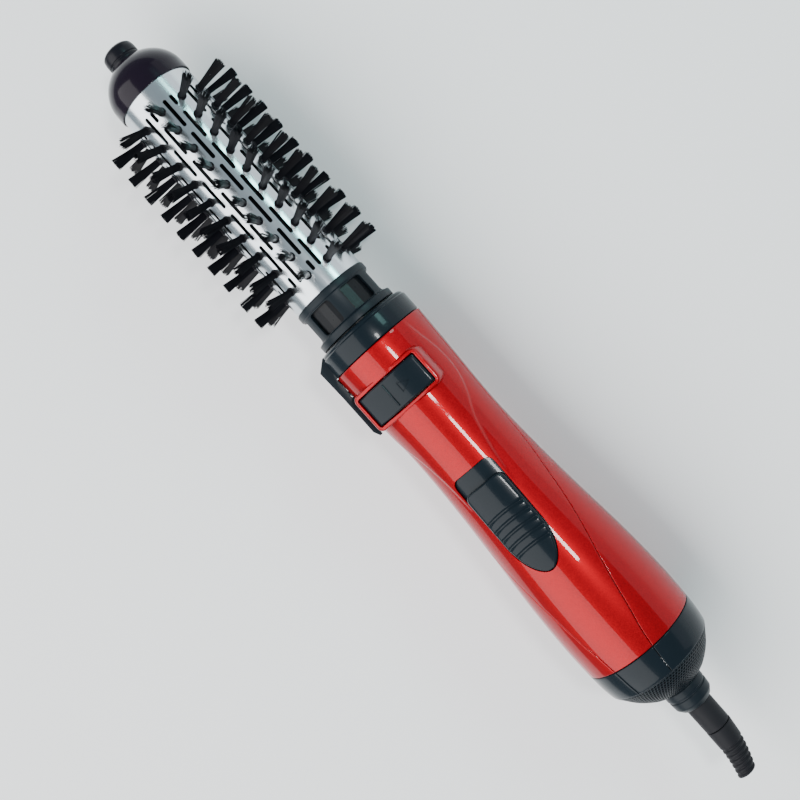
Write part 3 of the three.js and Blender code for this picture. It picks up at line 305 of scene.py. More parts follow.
red = Finish("candy_red", (0.4, 0.0, 0.006), Coat_Weight=1.0, Coat_Roughness=0.03, Coat_IOR=1.3)
red.set(Coat_Tint=(0.85, 0.22, 0.3, 1), Specular_IOR_Level=0.1)
flake_inputs = {"Vector": red.place(), "Scale": FLAKE_SCALE}
flake = red.node("ShaderNodeTexVoronoi", flake_inputs, "Color")
spark = red.node("ShaderNodeSeparateColor", {"Color": flake})
flaked = red.mix(spark, FLAKE_DARK, FLAKE_BRIGHT)
red.set(Base_Color=flaked, Metallic=0.6, Roughness=0.34 + 0.1 * spark)
red.bump(red.noise(2600, 1.0), 4e-6)

# How strongly the black mouldings shine: plain plastic, and plastic polished or lacquered.
dull = {"Specular_IOR_Level": 0.16}
gloss = {"Specular_IOR_Level": 0.1, "Coat_Weight": 0.5, "Coat_IOR": 1.25, "Coat_Roughness": 0.04}
gloss_black = grained("gloss_black", (0.006, 0.011, 0.016), 0.24, 0.1, 900, 4e-6, **gloss)
cap_black = grained("cap_black", (0.009, 0.005, 0.012), 0.2, 0.08, 900, 3e-6, **gloss)
satin_black = grained("satin_black", (0.008, 0.013, 0.018), 0.36, 0.16, 2200, 1.2e-5, **dull)
soft_black = grained("soft_black", (0.012, 0.012, 0.015), 0.55, 0.2, 3000, 2e-5, **dull)
tip_black = grained("tip_black", (0.007, 0.007, 0.011), 0.3, 0.14, 1800, 1e-5, **dull)
bristle_black = grained("bristle_black", (0.005, 0.005, 0.008), 0.34, 0.2, 4000, 4e-6, **dull)
aluminium = grained(
    "aluminium", (0.7, 0.75, 0.79), 0.2, 0.12, 2500, 1.5e-6, (0.06, 1, 1), Metallic=1.0
)
print("finishes", len(bpy.data.materials))

# %% [markdown]
# ## Making turned and cut pieces
# A turned piece is a closed outline of stations and radii, swept once round. Moulded corners are
# never sharp, so soften rounds each corner of the outline first. Openings are cut with exact
# booleans, which keep the swept surface as it was everywhere else.


# %% Helpers for outlines and pieces
def soften(outline, fillet=0.4, steps=4):
    """The outline with each corner off the axis rounded by a short curve."""
    made = []
    for i, corner in enumerate(outline):
        corner = np.array(corner, float)
        if corner[1] == 0:
            made.append(corner)
            continue
        ways = [np.array(outline[j % len(outline)], float) - corner for j in (i - 1, i + 1)]
        reach = min(fillet, *(0.45 * np.linalg.norm(way) for way in ways))
        start, end = (corner + way / np.linalg.norm(way) * reach for way in ways)
        for t in np.linspace(0, 1, steps + 1):
            made.append((1 - t) ** 2 * start + 2 * t * (1 - t) * corner + t**2 * end)
    return np.array(made)


def wrapped(rows, columns, closed_rows=True, closed_columns=True):
    """Faces of a grid of points, which joins back on itself either way."""
    last_row = rows if closed_rows else rows - 1
    last_column = columns if closed_columns else columns - 1
    a, b = np.meshgrid(np.arange(last_row), np.arange(last_column), indexing="ij")
    a2, b2 = (a + 1) % rows, (b + 1) % columns
    corners = [a * columns + b, a2 * columns + b, a2 * columns + b2, a * columns + b2]
    return np.stack(corners, axis=-1).reshape(-1, 4).tolist()


def capped(rows, count):
    """Faces of a stack of outlines with as many points each, closed at both ends."""
    last = (rows - 1) * count
    ends = [list(range(count))[::-1], list(range(last, last + count))]
    return wrapped(rows, count, closed_rows=False) + ends


def revolved(outline, sides=96):
    """Points and faces of an outline turned about the tool's axis."""
    angles = np.arange(sides) * 360 / sides
    outline = np.array(outline)
    points = around(outline[:, :1], outline[:, 1:], angles[None, :])
    return points, wrapped(len(outline), sides)


def merged(shapes):
    """Several (points, faces) as one."""
    points, faces, count = [], [], 0
    for more, those in shapes:
        points.append(np.asarray(more))
        faces += [[index + count for index in face] for face in those]
        count += len(more)
    return np.concatenate(points), faces


def solid(name, shape):
    """An object from points and faces, closed up and facing out."""
    made = meshed(name, *shape)
    work = bmesh.new()
    work.from_mesh(made.data)
    bmesh.ops.remove_doubles(work, verts=work.verts, dist=1e-6)
    bmesh.ops.dissolve_degenerate(work, edges=work.edges, dist=1e-7)
    bmesh.ops.recalc_face_normals(work, faces=work.faces)
    work.to_mesh(made.data)
    work.free()
    return made


def applied(made):
    """The object with its modifiers worked into its mesh."""
    graph = bpy.context.evaluated_depsgraph_get()
    made.data = bpy.data.meshes.new_from_object(made.evaluated_get(graph))
    made.modifiers.clear()
    return made


def carve(made, shape, operation="DIFFERENCE"):
    """Cuts or joins a second shape into the object."""
    tool = solid("cutter", shape)
    step = made.modifiers.new("carve", "BOOLEAN")
    step.operation, step.solver, step.object = operation, "EXACT", tool
    applied(made)
    bpy.data.objects.remove(tool)
    return made


def finished(made, finish, body, slot, *nodes, edge=35):
    """Shades, paints and mounts a piece, and hides the nodes it stands for."""
    made.data.shade_smooth()
    made.data.set_sharp_from_angle(angle=math.radians(edge))
    made.data.materials.clear()
    made.data.materials.append(finish.material)
    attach(made, body)
    if nodes:
        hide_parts(*nodes)
    print(f"{made.name}: {len(made.data.polygons)} faces")
    return made


def prism(outline, low, high, angle=0.0):
    """A straight-sided block over an outline of stations and places across, turned to an angle."""
    walls = [turned(*np.transpose(outline), height, angle) for height in (low, high)]
    return np.concatenate(walls), capped(2, len(outline))


def side_block(outline, width, angle):
    """An outline of stations and heights, given a width across and turned to an angle."""
    station, height = np.transpose(outline)
    walls = [turned(station, across, height, angle) for across in (-width / 2, width / 2)]
    return np.concatenate(walls), capped(2, len(outline))


def slab(top, bottom, rows, columns):
    """A closed piece between two grids of points of the same size."""
    count = rows * columns
    faces = wrapped(rows, columns, False, False)
    faces += [[index + count for index in face] for face in faces]
    grid = np.arange(count).reshape(rows, columns)
    sides = grid[0], grid[1:, -1], grid[-1, -2::-1], grid[-2:0:-1, 0]
    border = np.concatenate(sides).tolist()
    faces += [[a, b, b + count, a + count] for a, b in zip(border, border[1:] + border[:1])]
    return np.concatenate([top, bottom]), faces


def rounded_box(start, end, width, corner, steps=6):
    """The outline of a rectangle with rounded corners, between two stations."""
    signs = np.repeat([(1, 1), (-1, 1), (-1, -1), (1, -1)], steps + 1, axis=0)
    turns = np.radians(np.add.outer(90 * np.arange(4), np.linspace(0, 90, steps + 1))).ravel()
    reach = np.array([(end - start) / 2, width / 2]) - corner
    round_corner = corner * np.stack([np.cos(turns), np.sin(turns)], axis=-1)
    return ((start + end) / 2, 0) + signs * reach + round_corner


def circle(radius, sides=16):
    """Points round a circle."""
    turns = np.arange(sides) * 2 * math.pi / sides
    return radius * np.stack([np.cos(turns), np.sin(turns)], axis=-1)


def disc(station, radius, sides=20):
    """The outline of a round hole at a station."""
    return circle(radius, sides) + (station, 0)


# %% [markdown]
# ## The cool tip
# The tip is held with two fingers while the barrel is hot. It is a plain button that turns freely
# in the end cap, with a rounded face, a shallow dish and one fine groove, so a softened outline is
# enough.

# %% Cool tip
tip_start, tip_end = span("cool_tip")
tip_radius = girth("cool_tip")
tip_length = span("end_cap")[0] - 0.3
GROOVE_RADIUS, SPINDLE_RADIUS, SCREW_RADIUS, SCREW_SEAT = tip_radius - 0.35, 3, 1.5, 2.7
tip_outline = [
    (tip_start + 0.5, 0), (tip_start + 0.35, 4.2), (tip_start, 4.9), (tip_start, tip_radius - 1.6),
    (tip_start + 1.1, GROOVE_RADIUS), (tip_start + 3, tip_radius), (5.6, tip_radius),
    (5.8, GROOVE_RADIUS), (6.3, GROOVE_RADIUS), (6.5, tip_radius), (tip_length, tip_radius),
    (tip_length, SPINDLE_RADIUS), (tip_end, SPINDLE_RADIUS), (tip_end, SCREW_RADIUS),
    (SCREW_SEAT, SCREW_RADIUS), (SCREW_SEAT, 0),
]
tip = solid("tip_button", revolved(soften(tip_outline, 0.5), 72))
finished(tip, tip_black, "tip", "tip_black", "cool_tip")

# %% [markdown]
# ## The end cap
# The cap is a glossy dome that closes the barrel and grips its edge with a thin skirt. The dome is
# part of an ellipse, thickened inwards.

# %% End cap
cap_start, cap_end = span("end_cap")
cap_radius, barrel_radius = girth("end_cap"), girth("barrel_tube")
FACE_RADIUS = 9.6
CAP_WALL, CAP_BORE = 2.0, 3.4
shoulder = cap_end - 4.7
skirt_bore = barrel_radius + 0.3
first = math.asin(FACE_RADIUS / cap_radius)
depth = (shoulder - cap_start) / math.cos(first)
sweep = np.linspace(first, math.pi / 2, 22)
dome = [(shoulder - depth * math.cos(t), cap_radius * math.sin(t)) for t in sweep]
hollow = [(s + CAP_WALL, r - CAP_WALL) for s, r in dome[::-1] if s + CAP_WALL < shoulder - 0.5]
skirt = [
    (cap_end - 0.2, cap_radius), (cap_end, cap_radius - 0.15), (cap_end, skirt_bore),
    (BARREL[0] - 0.3, skirt_bore), (BARREL[0] - 0.3, cap_radius - CAP_WALL),
]
face = [
    (cap_start + CAP_WALL, 7.6), (cap_start + CAP_WALL, CAP_BORE), (cap_start, CAP_BORE),
    (cap_start, 8.9), (cap_start + 0.12, 9.3),
]
cap = solid("cap_dome", revolved(dome + skirt + hollow + face, 120))
finished(cap, cap_black, "barrel", "gloss_black", "end_cap")

# %% [markdown]
# ## The barrel
# The barrel is a thin aluminium tube. Hot air leaves through two staggered lines of slots between
# each two rows of bristles, and the tufts pass through round holes. The tube is swept fine enough
# to look round, and every slot and hole is a real opening cut in one go.

# %% Barrel
ROWS, TUFTS = 10, 10
ROW_OFFSET = -45.4
TUFT_START, TUFT_PITCH = cap_end + 11.9, 10.06
SLOT_LENGTH, SLOT_WIDTH, SLOT_GAP = 14.3, 1.7, 3.5
SLOT_LINE = 5.7
SHORTEST_SLOT = 3
TUBE_WALL, TUFT_HOLE = 0.8, 1.75
slot_limits = (cap_end + 8.6, BARREL[1] - 8.4)
tuft_stations = TUFT_START + TUFT_PITCH * np.arange(TUFTS)
row_angles = ROW_OFFSET + 360 / ROWS * np.arange(ROWS)


def slot_ends(mirrored):
    """The first and last station of each slot in one line."""
    at = slot_limits[1] if mirrored else slot_limits[0]
    made = []
    while slot_limits[0] + SHORTEST_SLOT < at if mirrored else at < slot_limits[1] - SHORTEST_SLOT:
        far = at - SLOT_LENGTH if mirrored else at + SLOT_LENGTH
        far = min(max(far, slot_limits[0]), slot_limits[1])
        made.append((min(at, far), max(at, far)))
        at = far - SLOT_GAP if mirrored else far + SLOT_GAP
    return made


wall_low, wall_high = barrel_radius - 3, barrel_radius + 2
openings = []
for angle in row_angles:
    for mirrored in (False, True):
        at = angle + 180 / ROWS + (-SLOT_LINE if mirrored else SLOT_LINE)
        for start, end in slot_ends(mirrored):
            outline = rounded_box(start, end, SLOT_WIDTH, SLOT_WIDTH / 2 - 0.01, 4)
            openings.append(prism(outline, wall_low, wall_high, at))
    openings += [prism(disc(s, TUFT_HOLE), wall_low, wall_high, angle) for s in tuft_stations]
lengths = np.linspace(*BARREL, 60)
tube = [(s, barrel_radius) for s in lengths]
tube += [(s, barrel_radius - TUBE_WALL) for s in lengths[::-1]]
barrel = solid("barrel_sleeve", revolved(tube, 120))
carve(barrel, merged(openings))
finished(barrel, aluminium, "barrel", "barrel", "barrel_tube")

# %% [markdown]
# ## The bristles
# A tuft is a bundle of nylon filaments set in a moulded eyelet, cut level with its neighbours. The
# bundle flares, and each filament strays a little from its place and from its length. A filament is
# a thin rod that bends and tapers in three steps, so that light catches each one. The strays come
# from one seeded generator.

# %% Bristles
FILAMENTS = 90
STEPS, SIDES = 3, 3
ROOT_SPREAD, END_SPREAD = 1.4, 2.35
TUFT_LEAN, STRAY, UNEVEN, TRIM = 0.4, 0.22, 0.28, 0.25
THICK, TAPER = 0.19, 0.05
bristle_reach = (AXIS_HEIGHT - cad_box[0].z) / MM
draws = np.random.default_rng(7)
root_height = barrel_radius - 1.2
EYELET = [
    (1.7, -1.0), (1.7, 0.02), (1.95, 0.08), (2.0, 0.3), (1.85, 0.5), (1.5, 0.6), (1.2, 0.45),
    (1.1, -1.0),
]
EYELET_SIDES = 20


def tuft(station, angle):
    """The filaments of one tuft."""
    lean = draws.normal(0, TUFT_LEAN, 2)
    out, way = np.sqrt(draws.uniform(0, 1, FILAMENTS)), draws.uniform(0, 2 * math.pi, FILAMENTS)
    root = np.stack([out * np.cos(way), out * np.sin(way)], axis=-1)
    end = root * END_SPREAD + lean + draws.normal(0, STRAY, (FILAMENTS, 2))
    root = root * ROOT_SPREAD
    tops = bristle_reach - np.abs(draws.normal(0, UNEVEN, FILAMENTS)) - TRIM
    t = np.linspace(0, 1, STEPS + 1)[:, None, None]
    centres = root + (end - root) * t**1.5
    heights = root_height + (tops[None, :, None] - root_height) * t
    spots = centres[:, :, None, :] + circle(1, SIDES) * (THICK - TAPER * t)[..., None]
    points = turned(station + spots[..., 0], spots[..., 1], heights, angle)
    faces = []
    for k in range(FILAMENTS):
        for step in range(STEPS):
            low, high = ((step + j) * FILAMENTS * SIDES + k * SIDES for j in (0, 1))
            for side in range(SIDES):
                after = (side + 1) % SIDES
                faces.append([low + side, low + after, high + after, high + side])
        faces.append([k * SIDES + side for side in range(SIDES)][::-1])
        top = STEPS * FILAMENTS * SIDES + k * SIDES
        faces.append([top + side for side in range(SIDES)])
    return points, faces


def eyelet(station, angle):
    """The moulded ring at a tuft's root."""
    out, rise = np.transpose(EYELET)[..., None]
    along, across = circle(1, EYELET_SIDES).T
    points = turned(station + out * along, out * across, barrel_radius + rise, angle)
    return points, wrapped(len(EYELET), EYELET_SIDES)


def rail(angle):
    """The bar under the wall that carries a row."""
    outline = rounded_box(tuft_stations[0] - 2.5, tuft_stations[-1] + 2.5, 5, 1)
    return prism(outline, barrel_radius - 2.95, barrel_radius - 1.45, angle)


for row, angle in enumerate(row_angles, 1):
    shapes = [rail(angle)]
    for s in tuft_stations:
        shapes += [tuft(s, angle), eyelet(s, angle)]
    strip = meshed(f"bristle_row_{row:02d}", *merged(shapes))
    finished(strip, bristle_black, "barrel", "bristle", f"bristle_strip_{row:02d}", edge=50)

# %% [markdown]
# ## The windowed collar
# Behind the barrel a black collar carries six windows, with the hub's sleeve close behind them,
# painted near-black as painted shade so that the windows read dark inside. It is a softened outline
# with a lip, a waist and a flange, and the windows are cut through.

# %% Windowed collar
collar_end = span("window_collar")[1]
collar_start = BARREL[1] + 0.3
spigot = barrel_radius - 1.1
LIP_RADIUS, COLLAR_RADIUS, FLANGE_RADIUS = 18.3, 17.8, 19.5
COLLAR_BORE, COLLAR_STEP = 16.5, collar_end - 11.1
WINDOWS, WINDOW_WIDTH, WINDOW_TURN = 6, 12.4, 12
collar_outline = [
    (collar_start - 6, spigot - 0.8), (collar_start - 6, spigot), (collar_start, spigot),
    (collar_start, LIP_RADIUS), (collar_start + 3, LIP_RADIUS), (collar_start + 3.3, COLLAR_RADIUS),
    (collar_end - 3.8, COLLAR_RADIUS), (collar_end - 3.3, FLANGE_RADIUS),
    (collar_end, FLANGE_RADIUS), (collar_end, COLLAR_BORE), (COLLAR_STEP, COLLAR_BORE),
    (COLLAR_STEP, spigot - 0.8),
]
collar = solid("air_collar", revolved(soften(collar_outline, 0.45), 120))
window = rounded_box(collar_start + 3.7, collar_end - 4.0, WINDOW_WIDTH, 1.6)
window_angles = [WINDOW_TURN + 360 / WINDOWS * i for i in range(WINDOWS)]
carve(collar, merged([prism(window, 9, 22, angle) for angle in window_angles]))
finished(collar, satin_black, "barrel", "matt_black", "window_collar")

# %% [markdown]
# ## The nose ring
# A glossy ring closes the front of the handle. The release lever's nose runs in a notch through it.

# %% Nose ring
ring_start, ring_end = span("nose_ring")
ring_radius = girth("nose_ring")
RING_BORE = 15.8
LEVER_ANGLE, LEVER_WIDTH = 70, 10
hook_radius = ring_radius - 3.2
ring_outline = [
    (ring_start, RING_BORE), (ring_start, ring_radius - 1.6),
    (ring_start + 0.9, ring_radius - 0.7), (ring_start + 1.7, ring_radius - 0.6),
    (ring_start + 2.1, ring_radius), (ring_end, ring_radius), (ring_end, RING_BORE),
]
nose = solid("grip_ring", revolved(soften(ring_outline, 0.5), 144))
notch = rounded_box(ring_start - 2, ring_end + 2, LEVER_WIDTH + 0.8, 0.5)
carve(nose, prism(notch, hook_radius - 0.8, ring_radius + 3, LEVER_ANGLE))
finished(nose, gloss_black, "handle", "gloss_black", "nose_ring")

# %% [markdown]
# ## The shape of the handle
# The handle is waisted for the fingers and swells towards the fan. Two curves give all of it: the
# radius along its length, and the parting line between its front and rear shells. A shallow crease
# that sweeps in from both sides to the slide switch is added to the radius.

# %% Handle curves
HANDLE_RADII = [
    (0, 23.5), (0.124, 22.9), (0.299, 21.8), (0.454, 22.5),
    (0.61, 24.2), (0.766, 26.4), (0.904, 27.4), (1, 27.2),
]
PARTING = [
    (-0.06, 0), (0.314, 0.02), (0.546, 0.406), (0.749, 0.752), (0.911, 0.89), (1, 0.93),
    (1.1, 0.945),
]
CREASE = [
    (0, 56), (0.06, 63), (0.12, 70), (0.18, 71), (0.235, 62), (0.29, 48), (0.36, 38.5), (0.43, 33),
    (0.55, 27),
]
CREASE_STEP, CREASE_SHARPNESS, CREASE_REACH = 0.6, 0.4, 9
CREASE_END, CREASE_FADE, CREASE_RISE = 0.5, 0.12, 0.03


def through(points, steps=16):
    """A smooth curve through points, sampled closely."""
    points = np.array(points, float)
    ends = np.vstack([points[:1], points, points[-1:]])
    made = []
    for a, b, c, d in zip(ends, ends[1:], ends[2:], ends[3:]):
        slope, bow, twist = c - a, 2 * a - 5 * b + 4 * c - d, 3 * b - a - 3 * c + d
        for t in np.arange(steps) / steps:
            made.append(b + t * slope / 2 + t**2 * bow / 2 + t**3 * twist / 2)
    return np.array([*made, points[-1]])


radius_curve, parting_curve, crease_curve = map(through, (HANDLE_RADII, PARTING, CREASE))


def share(station):
    """How far along the handle a station lies, from 0 to 1."""
    return (np.asarray(station, float) - HANDLE[0]) / (HANDLE[1] - HANDLE[0])


def handle_radius(station):
    return np.interp(share(station), *radius_curve.T)


def parting_angle(station):
    """How far round from the front the shells meet."""
    return np.degrees(np.arccos(np.interp(share(station), *parting_curve.T)))


def skin(station, angle):
    """The handle's radius with its crease, at stations and angles."""
    radius = handle_radius(station)
    edge = np.interp(share(station), *crease_curve.T)
    inside = (edge - np.abs(angle)) * np.pi / 180 * radius
    step = np.tanh(inside / CREASE_SHARPNESS)
    fade = np.clip((CREASE_END - share(station)) / CREASE_FADE, 0, 1)
    fade = fade * np.clip(share(station) / CREASE_RISE, 0, 1)
    reach = np.exp(-np.clip(-inside, 0, None) / CREASE_REACH)
    return radius + CREASE_STEP * (step - 1) / 2 * fade * reach


print("handle radius at its waist", round(handle_radius(219), 2))

# %% [markdown]
# ## The red shells
# Each shell is a grid over station and angle, given thickness. Its edges roll over slightly, so
# that the parting line shows as a fine groove. Grid lines crowd together at the edges for that.

# %% Front and rear shells
SHELL_WALL = 2.0
ROLL = 0.4
PART_GAP = 0.1
crowded = np.array([0, 0.04, 0.1, 0.18, 0.28, 0.4])


def edged(length, step):
    """Distances from 0 to length, crowded at both ends."""
    inner = np.linspace(crowded[-1], length - crowded[-1], max(3, int(length / step)))
    return np.concatenate([crowded, inner[1:-1], length - crowded[::-1]])


def rolled(distance):
    """How far the surface drops as it nears an edge."""
    near = np.clip(ROLL - distance, 0, ROLL)
    return ROLL - np.sqrt(ROLL**2 - near**2)


def shell(stations, low_angle, high_angle, columns, radius_of, wall=SHELL_WALL):
    """A thick grid between two angles that vary along it."""
    to_end = np.minimum(stations - stations[0], stations[-1] - stations)
    width = np.radians(high_angle - low_angle) * handle_radius(stations)
    fine = edged(float(np.mean(width)), float(np.mean(width)) / columns)
    spread = fine / fine[-1]
    angles = low_angle[:, None] + (high_angle - low_angle)[:, None] * spread
    to_side = np.minimum(spread, 1 - spread) * width[:, None]
    nearest = np.minimum(to_side, to_end[:, None])
    outer = radius_of(stations[:, None], angles) - rolled(nearest)
    inner = radius_of(stations[:, None], angles) - wall
    grids = [around(stations[:, None], radius, angles) for radius in (outer, inner)]
    return slab(*grids, *angles.shape)


stations = HANDLE[0] + edged(HANDLE[1] - HANDLE[0], 0.85)
split = parting_angle(stations) - np.degrees(PART_GAP / handle_radius(stations))
front = solid("grip_front", shell(stations, -split, split, 120, skin))
split = parting_angle(stations) + np.degrees(PART_GAP / handle_radius(stations))
rear_shape = shell(stations, split, 360 - split, 130, lambda s, a: skin(s, (a + 180) % 360 - 180))
rear = solid("grip_rear", rear_shape)
print("front", len(front.data.polygons), "rear", len(rear.data.polygons))

# %% [markdown]
# ## Openings in the shells
# The front shell has a raised frame round the rocker, an opening for the slide switch and a slot
# for the release lever. The frame is a rounded section carried round a rectangle, crowned across,
# and joined to the shell. The rear shell has two deep screw holes.

# %% Frame, switch opening and screw holes
rocker_span = span("rocker_button")
ROCKER_CENTRE = sum(rocker_span) / 2
ROCKER_LENGTH = rocker_span[1] - rocker_span[0]
ROCKER_WIDTH = 2 * girth("rocker_button")
FRAME_TOP = 25.3
CROWN = 46.0
WELL_GAP = 0.4
RIM = 1.9
CUT_LOW, CUT_HIGH = 6, 34
BOSS_RADIUS, SCREW_HOLE = 4.2, 2.8


def crowned(points):
    """Lowers points by the crown of the frame and rocker."""
    points[:, 2] -= points[:, 1] ** 2 / (2 * CROWN * MM)
    return points


def well(offset, corner=0.9):
    """The outline of the rocker's opening, grown by an offset."""
    grow = WELL_GAP + offset
    start, end = ROCKER_CENTRE - ROCKER_LENGTH / 2 - grow, ROCKER_CENTRE + ROCKER_LENGTH / 2 + grow
    return rounded_box(start, end, ROCKER_WIDTH + 2 * grow, corner + offset)


def stacked(top, levels, outline_of, closed):
    """Outlines at (offset, rise) levels from a top height, joined into one skin and crowned."""
    walls = [placed(*outline_of(offset).T, top + rise) for offset, rise in levels]
    faces = (wrapped if closed else capped)(len(levels), len(walls[0]))
    return crowned(np.concatenate(walls)), faces


FRAME_DEPTH = 13.8
frame_levels = [
    (0, -FRAME_DEPTH), (0, -0.5), (0.12, -0.18), (0.4, 0), (0.9, 0.06), (1.3, 0),
    (RIM - 0.15, -0.3), (RIM, -0.7), (RIM + 0.15, -1.6), (RIM + 0.3, -FRAME_DEPTH),
]
carve(front, prism(well(0.6), CUT_LOW, CUT_HIGH))
carve(front, stacked(FRAME_TOP, frame_levels, well, closed=True), "UNION")

SLIDE_START, SLIDE_LENGTH, SLIDE_WIDTH = HANDLE[0] + 64.5, 53.0, 21.2
SLIDE_TAPER, SLIDE_CORNER = 19.0, 4.0


def bezier(a, b, c, d, steps=16):
    """Points along a Bezier curve."""
    t = np.linspace(0, 1, steps + 1)[:, None]
    a, b, c, d = (np.array(p, float) for p in (a, b, c, d))
    return (1 - t) ** 3 * a + 3 * t * (1 - t) ** 2 * b + 3 * t**2 * (1 - t) * c + t**3 * d


def slide_side(start, inset):
    """One side of the switch's outline, from its square end to its point."""
    half, end = SLIDE_WIDTH / 2 - inset, SLIDE_START + SLIDE_LENGTH - inset
    waist, bow = end - SLIDE_TAPER, SLIDE_TAPER * 0.6
    corner = SLIDE_CORNER - inset / 2
    soft = corner * 0.4
    across, along = (start, half - soft), (start + soft, half)
    bent = bezier((start, half - corner), across, along, (start + corner, half), 8)
    tapered = bezier((waist, half), (waist + bow, half), (end, half * 0.45), (end, 0))
    return np.concatenate([bent, tapered])


side = slide_side(SLIDE_START, 0)
opening = np.concatenate([side, (side * (1, -1))[-2::-1]])
carve(front, prism(opening, CUT_LOW, CUT_HIGH))
LEVER_PIVOT, LEVER_SPRING = ring_end + 9.1, ring_end + 24.1
pivot_surface = handle_radius(LEVER_PIVOT)
rib_slot = rounded_box(LEVER_PIVOT - 2.8, LEVER_PIVOT + 2.8, 5.6, 0.4)
spring_surface = handle_radius(LEVER_SPRING)
carve(front, prism(rib_slot, 12, 30, LEVER_ANGLE))
carve(front, prism(disc(LEVER_SPRING, 2.3), spring_surface - 1.2, 30, LEVER_ANGLE))
finished(front, red, "handle", "red_shell", "front_shell")

screw_stations = [sum(span(f"housing_screw_{i}")) / 2 for i in (1, 2)]
head = (AXIS_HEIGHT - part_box("housing_screw_1")[0].z) / MM
for s in screw_stations:
    carve(rear, prism(disc(s, BOSS_RADIUS, 32), 12, handle_radius(s) - 1, 180), "UNION")
    carve(rear, prism(disc(s, SCREW_HOLE, 32), head - 2.2, CUT_HIGH, 180))
finished(rear, red, "handle", "red_shell", "rear_shell")

# %% [markdown]
# ## The rocker
# The rocker turns the barrel one way or the other. Its top is a grid whose edges roll over, crowned
# like its frame and cut to rounded corners. A low bar along it can be found by touch, and the
# outline of a small triangle stands up beside the bar.

# %% Rocker
ROCKER_TOP = FRAME_TOP - 0.25
ROCKER_FILLET = 1.0
PIN_HOLE = 1.35
BAR_ACROSS, BAR_HALF = 2.3, 0.35
along_rocker = rocker_span[0] + edged(ROCKER_LENGTH, 0.5)
across_rocker = edged(ROCKER_WIDTH, 0.5) - ROCKER_WIDTH / 2
station, across = np.meshgrid(along_rocker, across_rocker, indexing="ij")
to_edge = np.minimum(station - rocker_span[0], rocker_span[1] - station)
to_edge = np.minimum(to_edge, ROCKER_WIDTH / 2 - np.abs(across))
near = np.clip(ROCKER_FILLET - to_edge, 0, ROCKER_FILLET)
rocker_top = ROCKER_TOP - ROCKER_FILLET + np.sqrt(ROCKER_FILLET**2 - near**2)
rocker_heights = rocker_top, ROCKER_TOP - 5
rocker_grids = [crowned(placed(station, across, height)) for height in rocker_heights]
rocker = solid("rocker_cap", slab(*rocker_grids, *station.shape))
carve(rocker, prism(rounded_box(*rocker_span, ROCKER_WIDTH, 1.2), 15, 30), "INTERSECT")


def bar(inset):
    """The outline of the bar."""
    start, end = rocker_span[0] + 1.5 + inset, rocker_span[1] - 1.5 - inset
    return rounded_box(start, end, 2 * (BAR_HALF - inset), 0.1) + (0, BAR_ACROSS)


def arrowhead(inset):
    """A triangle that points away from the lever."""
    middle = np.array([ROCKER_CENTRE, -4.6])
    return middle + np.array([(2.5, 1.8), (-2.5, 1.8), (0, -3.2)]) * (1 - inset)


BAR_LEVELS = [(0, -1.0), (0, 0.4), (0.2, 0.6)]
RIDGE_LEVELS = [(0, -0.6), (0.03, 0.3), (0.16, 0.3), (0.19, -0.6)]
carve(rocker, stacked(ROCKER_TOP, BAR_LEVELS, bar, closed=False), "UNION")
carve(rocker, stacked(ROCKER_TOP, RIDGE_LEVELS, arrowhead, closed=True), "UNION")
pivot_height = (sum(c.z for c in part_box("rocker_pin")) / 2 - AXIS_HEIGHT) / MM
above, across = circle(PIN_HOLE).T
hole_ends = np.array([[rocker_span[0] - 1], [rocker_span[1] + 1]])
carve(rocker, (placed(hole_ends, across, pivot_height + above), capped(2, len(above))))
finished(rocker, gloss_black, "rocker", "gloss_black", "rocker_button")

# %% [markdown]
# ## The slide switch
# A dark plate lies just below the handle's surface, and the thumb piece slides along it. Both are
# grids stretched over the switch's outline that follow the handle's curve, so one helper makes
# them. The thumb piece rises to a soft edge and has five cross grooves.


# %% Slide switch
def pad(start, inset, rise_of, low_offset, rows=150, columns=61):
    """A grid over the switch's outline, at rise_of(station, across, edge) above the handle."""
    side = slide_side(start, inset)
    ends = side[0, 0], side[-1, 0]
    along_pad = ends[0] + edged(ends[1] - ends[0], (ends[1] - ends[0]) / rows)
    half = np.interp(along_pad, *side.T)
    half[0] = side[0, 1]
    spread = np.sin(np.linspace(-1, 1, columns) * math.pi / 2)
    station = np.broadcast_to(along_pad[:, None], (len(along_pad), columns))
    across = half[:, None] * spread
    edge = np.minimum(half[:, None] - np.abs(across), station - ends[0])
    edge = np.minimum(edge, (ends[1] - station) * 1.5)
    surface = np.sqrt(np.maximum(handle_radius(station) ** 2 - across**2, 1))
    top = surface + rise_of(station, across, np.clip(edge, 0, None))
    bottom = surface + low_offset
    return slab(placed(station, across, top), placed(station, across, bottom), *station.shape)


SLIDE_TRAVEL = 7.5
KNOB_START = SLIDE_START + SLIDE_TRAVEL + 0.4
STEM = KNOB_START + SLIDE_TRAVEL + 4
KNOB_RISE = 1.9
KNOB_EDGE = 1.1
GROOVES, GROOVE_PITCH, GROOVE_START = 5, 4.4, SLIDE_START + 22.0
GROOVE_HALF, GROOVE_DEPTH = 0.75, 0.75


def thumb_rise(station, across, edge):
    """Soft edges, a slope to the point, and the grooves."""
    near = np.clip(1 - edge / KNOB_EDGE, 0, 1)
    stops = [KNOB_START, KNOB_START + 14, SLIDE_START + SLIDE_LENGTH]
    slope = np.interp(station, stops, [KNOB_RISE, KNOB_RISE, 0.5])
    rise = slope - (1 - np.sqrt(np.clip(1 - near**2, 0, 1))) * KNOB_EDGE
    grooves = np.zeros_like(station)
    for i in range(GROOVES):
        bowed = station - (GROOVE_START + i * GROOVE_PITCH) - across**2 / 90
        grooves += np.exp(-((bowed / GROOVE_HALF) ** 2))
    fade = np.clip(edge / 1.2, 0, 1)
    return rise - GROOVE_DEPTH * grooves * fade


